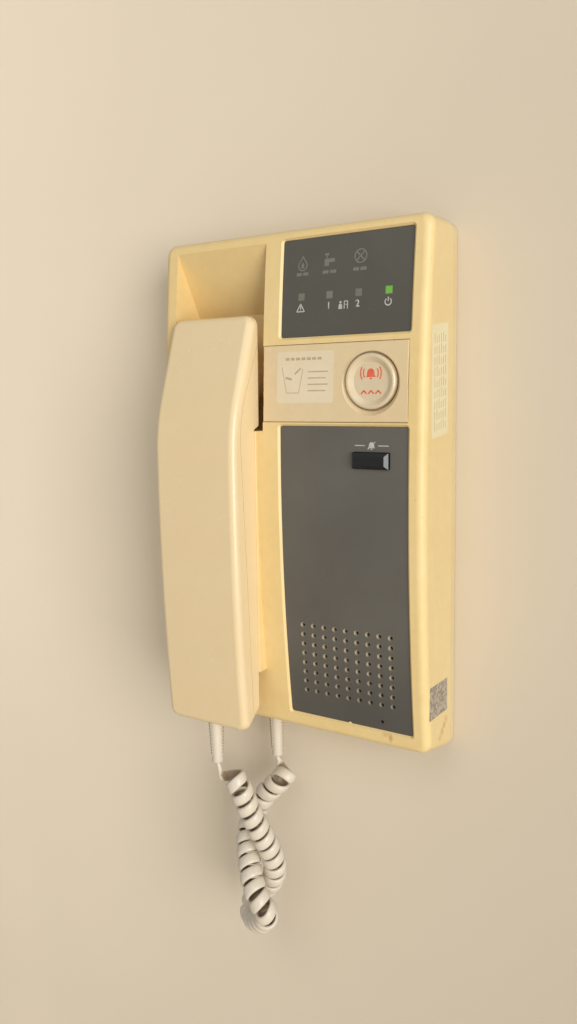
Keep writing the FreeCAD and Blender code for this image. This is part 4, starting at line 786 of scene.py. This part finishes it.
def printWindow(marks, key):
    onWindow = onFront(caseForm["windowSink"])
    digits = bmesh.new()
    for digit in marks["digits"]:
        digits.from_mesh(digitMesh(*digit))
    digitData = bpy.data.meshes.new("digits")
    digits.to_mesh(digitData)
    digits.free()
    captions = warningMark(*marks["warning"]) + visitorMark(*marks["visitor"]) + powerMark(*marks["power"])
    layOn("window-captions", captions, onWindow, whiteInk, "station", lettering=digitData)
    faint = flameMark(*marks["flame"]) + tapMark(*marks["tap"]) + crossedMark(*marks["crossed"])
    low, high = marks["ruleZ"]
    for u, wide in marks["rules"]:
        faint += [bar(u - wide / 2, low, u + marks["ruleGap"][0], high),
                  bar(u + marks["ruleGap"][1], low, u + wide / 2, high)]
    layOn("window-icons", faint, onWindow, faintInk, "station", lift=0.01, thick=0.02)
    shapes = bellMark(*key["bell"]) + [stroke(*key["slash"])] + [bar(*ends) for ends in key["bars"]]
    layOn("stop-key-mark", shapes, onWindow, whiteInk, "station")


printWindow(windowMarks, keyMarks)
print("window marks printed")

# the emergency button's red marks lie on the floor of its dish
buttonMarks = {
    "x": 42.2, "z": 49.0, "floorOut": 32.11, "bell": (0.0, 3.0, 4.9),
    "waves": {"z": 3.2, "radii": (3.3, 4.6), "wide": 0.55, "half": 32},
    "arrows": {"x": (-3.2, 0.0, 3.2), "half": 1.25, "z": (-5.0, -3.7), "wide": 0.62},
}


def onDish(u, v, lift):
    return Vector((u + buttonMarks["x"], -(buttonMarks["floorOut"] + lift), v + buttonMarks["z"])) * mm


def printButton(marks):
    shapes = bellMark(*marks["bell"])
    waves, arrows = marks["waves"], marks["arrows"]
    for side in (0, 180):
        start, end = side - waves["half"], side + waves["half"]
        for radius in waves["radii"]:
            shapes += arcBand(0.0, waves["z"], radius, waves["wide"], start, end, 10)
    low, top = arrows["z"]
    for u in arrows["x"]:
        shapes += strokes([(u - arrows["half"], low), (u, top), (u + arrows["half"], low)], arrows["wide"])
    layOn("button-mark", shapes, onDish, redInk, "emergency_button", lift=0.01, thick=0.03)


printButton(buttonMarks)
print("button marked")


# paper labels, with their print left out or reduced to plain rules
labelSize = {
    "plate": {"u": (-2.3, 25.1), "v": (40.5, 62.0), "corner": 1.2},
    "side": {"u": (10.4, 26.8), "v": (26.6, 70.9), "corner": 0.8, "lean": -0.09},
    "corner": {"u": (9.0, 27.8), "v": (-91.5, -77.2), "corner": 0.4, "lean": 0.05},
}
plateRules = {
    "heading": {"u": (2.0, 3.9), "v": (58.3, 59.4), "pitch": 2.6, "count": 7},
    "lines": {"u": (13.0, 22.6), "v": (53.2, 53.7), "pitch": 2.6, "count": 4},
    "recess": [(0.2, 55.6), (2.6, 44.8), (8.6, 44.8), (10.6, 54.6)], "recessWide": 0.30,
    "strokes": ((2.0, 51.2, 5.2, 50.4, 0.9), (6.6, 52.6, 9.6, 55.0, 0.7)),
}
sideRules = {"u": (12.9, 15.1, 17.3, 19.5, 21.7, 23.9), "v": 29.2, "pitch": 4.3, "count": 9, "wide": 0.42,
             "least": 2.6, "more": 0.40}


paperLook = {"ageing": (70, 5, 0.65, 0.6), "rough": 0.55, "graining": (1500, 3, 0.6), "grain": 0.00001}


def paperFinish(name, colour, aged, speckle=None):
    finish, tree, shader, where = startFinish(name)
    paper = rampOf(tree, noiseOf(tree, where, *paperLook["ageing"]), (0.3, colour), (0.7, aged))
    if speckle:
        cells = addNode(tree, "ShaderNodeTexVoronoi", {
            "Vector": where, "Scale": speckle["scale"], "Randomness": 1.0})
        grey = rampOf(tree, cells.outputs["Color"], (0.40, speckle["dark"]), (0.60, (1.0, 1.0, 1.0)))
        paper = blendColours(tree, 1.0, paper, grey, "MULTIPLY")
    endFinish(tree, shader, where, paper, paperLook)
    return finish


plateLabel = paperFinish("plate-label", (0.770, 0.655, 0.460), (0.745, 0.610, 0.400))
sideLabel = paperFinish("side-label", (0.800, 0.680, 0.410), (0.775, 0.640, 0.360))
cornerLabel = paperFinish("corner-label", (0.52, 0.42, 0.30), (0.40, 0.32, 0.23),
                          {"scale": 900, "dark": (0.62, 0.60, 0.58)})
ruleInk = inkFinish("label-rules", (0.47, 0.345, 0.200), (0.57, 0.43, 0.25))
sideRuleInk = inkFinish("side-label-rules", (0.42, 0.31, 0.165), (0.52, 0.39, 0.21))


def leaning(place, size):
    middle = sum(size["u"]) / 2
    return lambda u, v, lift: place(u, v + size.get("lean", 0.0) * (u - middle), lift)


def makeLabel(name, size, place, finish):
    shape = roundedRect(*size["u"], *size["v"], size["corner"])
    layOn(name, [shape], leaning(place, size), finish, "station", lift=0.01, thick=0.06)


def printPlateLabel(size):
    head, lines = size["heading"], size["lines"]
    rules = []
    for k in range(head["count"]):
        along = head["pitch"] * k
        rules.append(bar(head["u"][0] + along, head["v"][0], head["u"][1] + along, head["v"][1]))
    for row in range(lines["count"]):
        down = lines["pitch"] * row
        rules.append(bar(lines["u"][0], lines["v"][0] - down, lines["u"][1] - (row % 2), lines["v"][1] - down))
    rules += strokes(size["recess"], size["recessWide"]) + [stroke(*ends) for ends in size["strokes"]]
    layOn("plate-label-rules", rules, onFront(0.0), ruleInk, "station", lift=0.065, thick=0.015)


def printSideLabel(size, label):
    rules = []
    for k, u in enumerate(size["u"]):
        for row in range(size["count"]):
            low = size["v"] + size["pitch"] * row
            long = size["least"] + (row * 7 + k * 3) % 4 * size["more"]  # an even mix of four lengths
            rules.append(bar(u, low, u + size["wide"], low + long))
    layOn("side-label-rules", rules, leaning(onSide, label), sideRuleInk, "station", lift=0.065, thick=0.015)


makeLabel("plate-label", labelSize["plate"], onFront(0.0), plateLabel)
printPlateLabel(plateRules)
makeLabel("side-label", labelSize["side"], onSide, sideLabel)
printSideLabel(sideRules, labelSize["side"])
makeLabel("corner-label", labelSize["corner"], onSide, cornerLabel)
print("labels laid")


# a tongue of the cover shows in the notch at the lower panel's foot
tongue = {"x": 28.8, "z": -99.2, "radius": 0.8, "inset": 2.4, "thick": 1.5}
layOn("notch-tongue", [arc(tongue["x"], tongue["z"], tongue["radius"], 0, 181, 15)], onFront(tongue["inset"]),
      agedFinish["cover"], "station", lift=0, thick=tongue["thick"])


# geometry trees have a named input for each size, and one for the finish

def startTree(name, inputs):
    tree = bpy.data.node_groups.new(name, "GeometryNodeTree")
    for label, kind in {"Geometry": "Geometry", **inputs, "Finish": "Material"}.items():
        tree.interface.new_socket(label, in_out="INPUT", socket_type="NodeSocket" + kind)
    tree.interface.new_socket("Geometry", in_out="OUTPUT", socket_type="NodeSocketGeometry")
    return tree, tree.nodes.new("NodeGroupInput").outputs


def endTree(tree, geometry, finish):
    dressed = addNode(tree, "GeometryNodeSetMaterial", {"Geometry": geometry, "Material": finish})
    addNode(tree, "NodeGroupOutput", {"Geometry": dressed.outputs["Geometry"]})
    return tree


def realized(tree, geometry):
    return addNode(tree, "GeometryNodeRealizeInstances", {"Geometry": geometry}).outputs["Geometry"]


def grow(piece, tree, values):
    # what the tree draws becomes the piece's own mesh
    maker = piece.modifiers.new(tree.name, "NODES")
    maker.node_group = tree
    for socket in tree.interface.items_tree:
        if socket.in_out == "INPUT" and socket.name in values:
            maker[socket.identifier] = values[socket.name]
    drawn = drawnMesh(piece)
    piece.modifiers.remove(maker)
    piece.data = drawn


# strain reliefs: a smooth core whose sides are cut back, and side ribs from geometry nodes
reliefSizes = {
    "case-sleeve": {"body": "station", "node": "case_strain_relief", "x": -19.5, "out": 14.0,
                    "top": -104.16, "under": -109.27, "slope": 0.221, "end": -131.0, "firstRib": 2.2,
                    "rear": None},
    "handset-sleeve": {"body": "handset", "node": "handset_strain_relief", "x": -35.5, "out": 41.0,
                       "top": -98.1, "under": -103.7, "slope": -0.80, "end": -127.0, "firstRib": 3.8,
                       "rear": 37.42},
}
sleeveForm = {
    "head": 4.4, "headThick": 1.4, "neck": 2.7, "topRadius": 3.6, "endRadius": 2.9, "cutBack": 0.45,
    "steps": 16, "around": 48, "crease": 50, "tip": 1.2,
    "nose": ((0.93, 0.55), (0.72, 0.12), (0.40, 0.0)),  # shares of the end radius, and height above the end
    "ribPitch": 1.5, "ribWide": 0.85, "ribDeep": 0.48, "ribSpread": 84.0, "ribProud": 0.1, "turned": 32.0,
    "clearEnd": 3.4,
}


def sleeveCore(name, size):
    form = sleeveForm
    top, under, end = size["top"], size["under"], size["end"]
    # rows: radius, height, and how far the row follows the slope of the wall that it comes out of
    rows = [(0.0, top, 0.0), (form["head"], top, 0.0), (form["head"], top - form["headThick"], 0.0),
            (form["neck"], top - form["headThick"], 0.0), (form["neck"], under, 1.0),
            (form["topRadius"], under, 1.0)]
    for k in range(1, form["steps"] + 1):
        share = k / form["steps"]
        radius = form["topRadius"] + (form["endRadius"] - form["topRadius"]) * share
        rows.append((radius, under - (under - end - form["tip"]) * share, 1.0 - min(1.0, share * 4)))
    rows += [(form["endRadius"] * part, end + above, 0.0) for part, above in form["nose"]] + [(0.0, end, 0.0)]
    mesh = bmesh.new()
    skew = math.radians(form["turned"])
    rings = []
    for row, (radius, z, follow) in enumerate(rows):
        if radius == 0:
            rings.append([mesh.verts.new(Vector((size["x"], -size["out"], z)) * mm)])
            continue
        # the tapered part's sides are cut back, over two rows at each of its ends
        slim = form["cutBack"] * max(0.0, min(1.0, (row - 5) / 2, (len(rows) - 4 - row) / 2))
        ring = []
        for k in range(form["around"]):
            turn = 2 * math.pi * k / form["around"]
            across, back = (radius - slim) * math.cos(turn), radius * math.sin(turn)
            x = size["x"] + across * math.cos(skew) - back * math.sin(skew)
            out = size["out"] - across * math.sin(skew) - back * math.cos(skew)
            if size["rear"]:
                out = max(out, size["rear"])
            level = z + follow * size["slope"] * (out - size["out"])
            ring.append(mesh.verts.new(Vector((x, -out, level)) * mm))
        rings.append(ring)
    skin(mesh, rings)
    bmesh.ops.recalc_face_normals(mesh, faces=mesh.faces)
    for edge in mesh.edges:
        if edge.is_manifold and edge.calc_face_angle() > math.radians(form["crease"]):
            edge.smooth = False
    return makePiece(name, mesh)


def ribTree():
    # side ribs on a line of points, smaller towards the sleeve's end
    tree, given = startTree("sleeve-ribs", {
        "Ribs": "Int", "First rib": "Vector", "Pitch": "Float", "Radius": "Float", "End scale": "Float",
        "Wide": "Float", "Deep": "Float", "Spread": "Float", "Turned": "Float"})

    def maths(operation, first, second):
        return sumOf(tree, operation, first, second)

    section = addNode(tree, "GeometryNodeCurvePrimitiveQuadrilateral", {
        "Width": given["Deep"], "Height": given["Wide"]}).outputs["Curve"]
    radius = maths("SUBTRACT", given["Radius"], maths("MULTIPLY", given["Deep"], 0.5))
    half = maths("MULTIPLY", given["Spread"], 0.5)
    sides = tree.nodes.new("GeometryNodeJoinGeometry")
    for middle in (0.0, math.pi):
        start = maths("SUBTRACT", maths("ADD", given["Turned"], middle), half)
        bow = addNode(tree, "GeometryNodeCurveArc", {
            "Resolution": 20, "Radius": radius, "Start Angle": start, "Sweep Angle": given["Spread"],
        }, mode="RADIUS")
        rib = addNode(tree, "GeometryNodeCurveToMesh", {
            "Curve": bow.outputs["Curve"], "Profile Curve": section, "Fill Caps": True})
        feed(tree, sides, {"Geometry": rib.outputs["Mesh"]})
    down = addNode(tree, "ShaderNodeCombineXYZ", {"Z": maths("MULTIPLY", given["Pitch"], -1.0)})
    line = addNode(tree, "GeometryNodeMeshLine", {
        "Count": given["Ribs"], "Start Location": given["First rib"], "Offset": down.outputs["Vector"],
    }, mode="OFFSET")
    index = tree.nodes.new("GeometryNodeInputIndex").outputs["Index"]
    along = maths("DIVIDE", index, maths("SUBTRACT", given["Ribs"], 1.0))
    size = maths("SUBTRACT", 1.0, maths("MULTIPLY", along, maths("SUBTRACT", 1.0, given["End scale"])))
    taper = addNode(tree, "ShaderNodeCombineXYZ", {"X": size, "Y": size, "Z": 1.0})
    ribs = addNode(tree, "GeometryNodeInstanceOnPoints", {
        "Points": line.outputs["Mesh"], "Instance": sides.outputs["Geometry"],
        "Scale": taper.outputs["Vector"]})
    whole = addNode(tree, "GeometryNodeJoinGeometry", {"Geometry": realized(tree, ribs.outputs["Instances"])})
    feed(tree, whole, {"Geometry": given["Geometry"]})
    return endTree(tree, whole.outputs["Geometry"], given["Finish"])


sleeveRibs = ribTree()


def makeSleeve(name, size):
    form = sleeveForm
    piece = sleeveCore(name, size)
    first = size["under"] - size["firstRib"]
    grow(piece, sleeveRibs, {
        "Ribs": int((first - size["end"] - form["clearEnd"]) / form["ribPitch"]) + 1,
        "First rib": [size["x"] * mm, -size["out"] * mm, first * mm],
        "Pitch": form["ribPitch"] * mm,
        "Radius": form["topRadius"] * mm,
        "End scale": (form["endRadius"] + form["ribProud"]) / form["topRadius"],
        "Wide": form["ribWide"] * mm,
        "Deep": form["ribDeep"] * mm,
        "Spread": math.radians(form["ribSpread"]),
        "Turned": math.radians(form["turned"]),
        "Finish": smallFinish["cord-vinyl"],
    })
    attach(piece, size["body"])
    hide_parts(size["node"])


for name, size in reliefSizes.items():
    makeSleeve(name, size)
print("strain reliefs ribbed")


# return springs under the two buttons
springSizes = {
    "turns": 5.0,
    "wire": 0.0008,
    "pointsPerTurn": 28,
    "springs": (("emergency-return-spring", "emergency_spring", "emergency_press"),
                ("stop-return-spring", "stop_spring", "stop_press")),
}


def springTree():
    # a wire coil that stands on its seat and points away from the wall
    tree, given = startTree("return-spring", {
        "Turns": "Float", "Points": "Int", "Coil radius": "Float", "Height": "Float", "Wire": "Float",
        "Seat": "Vector"})
    coil = addNode(tree, "GeometryNodeCurveSpiral", {
        "Resolution": given["Points"], "Rotations": given["Turns"], "Start Radius": given["Coil radius"],
        "End Radius": given["Coil radius"], "Height": given["Height"]})
    section = addNode(tree, "GeometryNodeCurvePrimitiveCircle", {
        "Resolution": 12, "Radius": sumOf(tree, "MULTIPLY", given["Wire"], 0.5)}, mode="RADIUS")
    drawn = addNode(tree, "GeometryNodeCurveToMesh", {
        "Curve": coil.outputs["Curve"], "Profile Curve": section.outputs["Curve"], "Fill Caps": True})
    stood = addNode(tree, "GeometryNodeTransform", {
        "Geometry": drawn.outputs["Mesh"], "Translation": given["Seat"], "Rotation": (math.pi / 2, 0, 0)})
    return endTree(tree, realized(tree, stood.outputs["Geometry"]), given["Finish"])


springForm = springTree()


def makeSpring(name, node, joint, size):
    low, high = (Vector(corner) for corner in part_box(node))
    wire = size["wire"]
    seat = Vector(((low.x + high.x) / 2, high.y - wire / 2, (low.z + high.z) / 2))
    piece = addObject(name, bpy.data.meshes.new(name))
    grow(piece, springForm, {
        "Turns": size["turns"], "Points": size["pointsPerTurn"], "Coil radius": (high.x - low.x - wire) / 2,
        "Height": high.y - low.y - wire, "Wire": wire, "Seat": seat, "Finish": smallFinish["spring-wire"]})
    for polygon in piece.data.polygons:
        polygon.use_smooth = True
    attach(piece, "station")
    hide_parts(node)
    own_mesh(piece)


for spring in springSizes["springs"]:
    makeSpring(*spring, springSizes)
print("return springs made")


# foam rings that the loudspeaker and the ear capsule press on
foamRings = {
    # the loudspeaker's ring follows the panel's curved back, just clear of it
    "speaker-foam": {"body": "station", "node": "speaker_gasket", "x": 28.9, "z": -71.9, "inner": 21.05,
                     "outer": 23.95, "back": 25.42, "front": lambda z: frontOut(z, 3.1) - 0.02},
    "ear-foam": {"body": "handset", "node": "earpiece_foam", "x": -35.5, "z": 53.0, "inner": 11.55,
                 "outer": 14.4, "back": 18.62, "front": lambda z: 20.07},
}
foamForm = {"around": 96, "ringPoints": 24, "power": 0.45}


def foamRing(name, size, form):
    mesh = bmesh.new()
    middle = (size["inner"] + size["outer"]) / 2
    wide = (size["outer"] - size["inner"]) / 2
    rings = []
    for i in range(form["around"]):
        turn = 2 * math.pi * i / form["around"]
        ring = []
        for k in range(form["ringPoints"]):
            across, high = boxedCircle(2 * math.pi * k / form["ringPoints"], form["power"])
            radius = middle + wide * across
            x = size["x"] + radius * math.cos(turn)
            z = size["z"] + radius * math.sin(turn)
            out = size["back"] + (size["front"](z) - size["back"]) * ((1 + high) / 2)
            ring.append(mesh.verts.new(Vector((x, -out, z)) * mm))
        rings.append(ring)
    skin(mesh, rings + rings[:1])
    bmesh.ops.recalc_face_normals(mesh, faces=mesh.faces)
    piece = makePiece(name, mesh, smallFinish["foam-rubber"])
    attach(piece, size["body"])
    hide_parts(size["node"])


for name, size in foamRings.items():
    foamRing(name, size, foamForm)
print("foam rings made")


# the cord's two runs take the curled vinyl; the run to the case hangs on the station
for piece in (handsetCord, caseCord):
    piece.data.materials.append(curlFinish)
    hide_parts("curly_cord")
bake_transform(handsetCord)
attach(caseCord, "station")
print("cord hung")


# wall, floor and light
stageSize = {"half": 1.6, "wallGap": 0.0004, "floorZ": -0.95, "floorFront": -2.4}
stageTones = {
    "wall": (0.76, 0.650, 0.490), "floor": (0.78, 0.69, 0.56), "rough": 0.9,
    # painted light and shade on the wall: lighter to the left, darker towards the floor
    "across": (-0.24, 0.20, 1.24, 0.78), "down": (-0.05, -0.35, 1.0, 0.88),  # two places, and the tone at each
}


def plainFinish(name, colour):
    finish, tree, shader, where = startFinish(name)
    tone = rampOf(tree, noiseOf(tree, where, 8, 3), (0.3, colour), (0.7, tuple(c * 0.97 for c in colour)))
    feed(tree, shader, {"Base Color": tone, "Roughness": stageTones["rough"]})
    return finish, tree, shader, where, tone


def stageSheet(name, corners, finish):
    data = bpy.data.meshes.new(name)
    data.from_pydata(corners, [], [(0, 1, 2, 3)])
    data.materials.append(finish)
    sheet = addObject(name, data)
    return sheet


def makeWall(size):
    # the wall only shows from the room, so that the back can be looked at too
    finish, tree, shader, where, tone = plainFinish("pale-wall", stageTones["wall"])
    apart = addNode(tree, "ShaderNodeSeparateXYZ", {"Vector": where}).outputs
    # painted light and shade: the wall's colour is lightened at the left and darkened towards the floor
    across = rangeOf(tree, apart["X"], *stageTones["across"])
    down = rangeOf(tree, apart["Z"], *stageTones["down"])
    feed(tree, shader, {"Base Color": scaled(tree, tone, sumOf(tree, "MULTIPLY", across, down))})
    choose = addNode(tree, "ShaderNodeMixShader", {
        "Fac": addNode(tree, "ShaderNodeNewGeometry").outputs["Backfacing"],
        1: shader.outputs["BSDF"], 2: addNode(tree, "ShaderNodeBsdfTransparent").outputs["BSDF"]})
    feed(tree, tree.nodes["Material Output"], {"Surface": choose.outputs["Shader"]})
    half, y, low = size["half"], size["wallGap"], size["floorZ"]
    wall = stageSheet("pale-wall", [(-half, y, low), (half, y, low), (half, y, half), (-half, y, half)], finish)
    wall.visible_diffuse = False
    wall.visible_glossy = False
    wall.visible_shadow = False


def makeFloor(size):
    half, near, low = size["half"], size["floorFront"], size["floorZ"]
    stageSheet("pale-floor", [(-half, near, low), (half, near, low), (half, half, low), (-half, half, low)],
               plainFinish("pale-floor", stageTones["floor"])[0])


makeWall(stageSize)
makeFloor(stageSize)

lamps = {
    "window": {"place": (2.20, -1.44, 0.20), "size": (1.35, 1.85), "power": 57.5, "colour": (1.0, 1.0, 1.0)},
    "room": {"place": (0.15, -1.30, 1.10), "size": (1.0, 0.8), "power": 4.0, "colour": (1.0, 1.0, 1.0)},
}
backdropLight = {"colour": (1.0, 1.0, 1.0, 1), "strength": 0.40}


def hangLamp(name, lamp):
    light = bpy.data.lights.new(name, "AREA")
    light.shape = "RECTANGLE"
    light.size, light.size_y = lamp["size"]
    light.energy = lamp["power"]
    light.color = lamp["colour"]
    holder = addObject(name, light)
    holder.location = lamp["place"]
    holder.rotation_mode = "QUATERNION"
    holder.rotation_quaternion = (-Vector(lamp["place"])).to_track_quat("-Z", "Y")


for name, lamp in lamps.items():
    hangLamp(name, lamp)

sky = bpy.data.worlds.new("soft-studio")
sky.use_nodes = True
scene.world = sky
feed(sky.node_tree, sky.node_tree.nodes["Background"], {
    "Color": backdropLight["colour"], "Strength": backdropLight["strength"]})
print("stage lit")
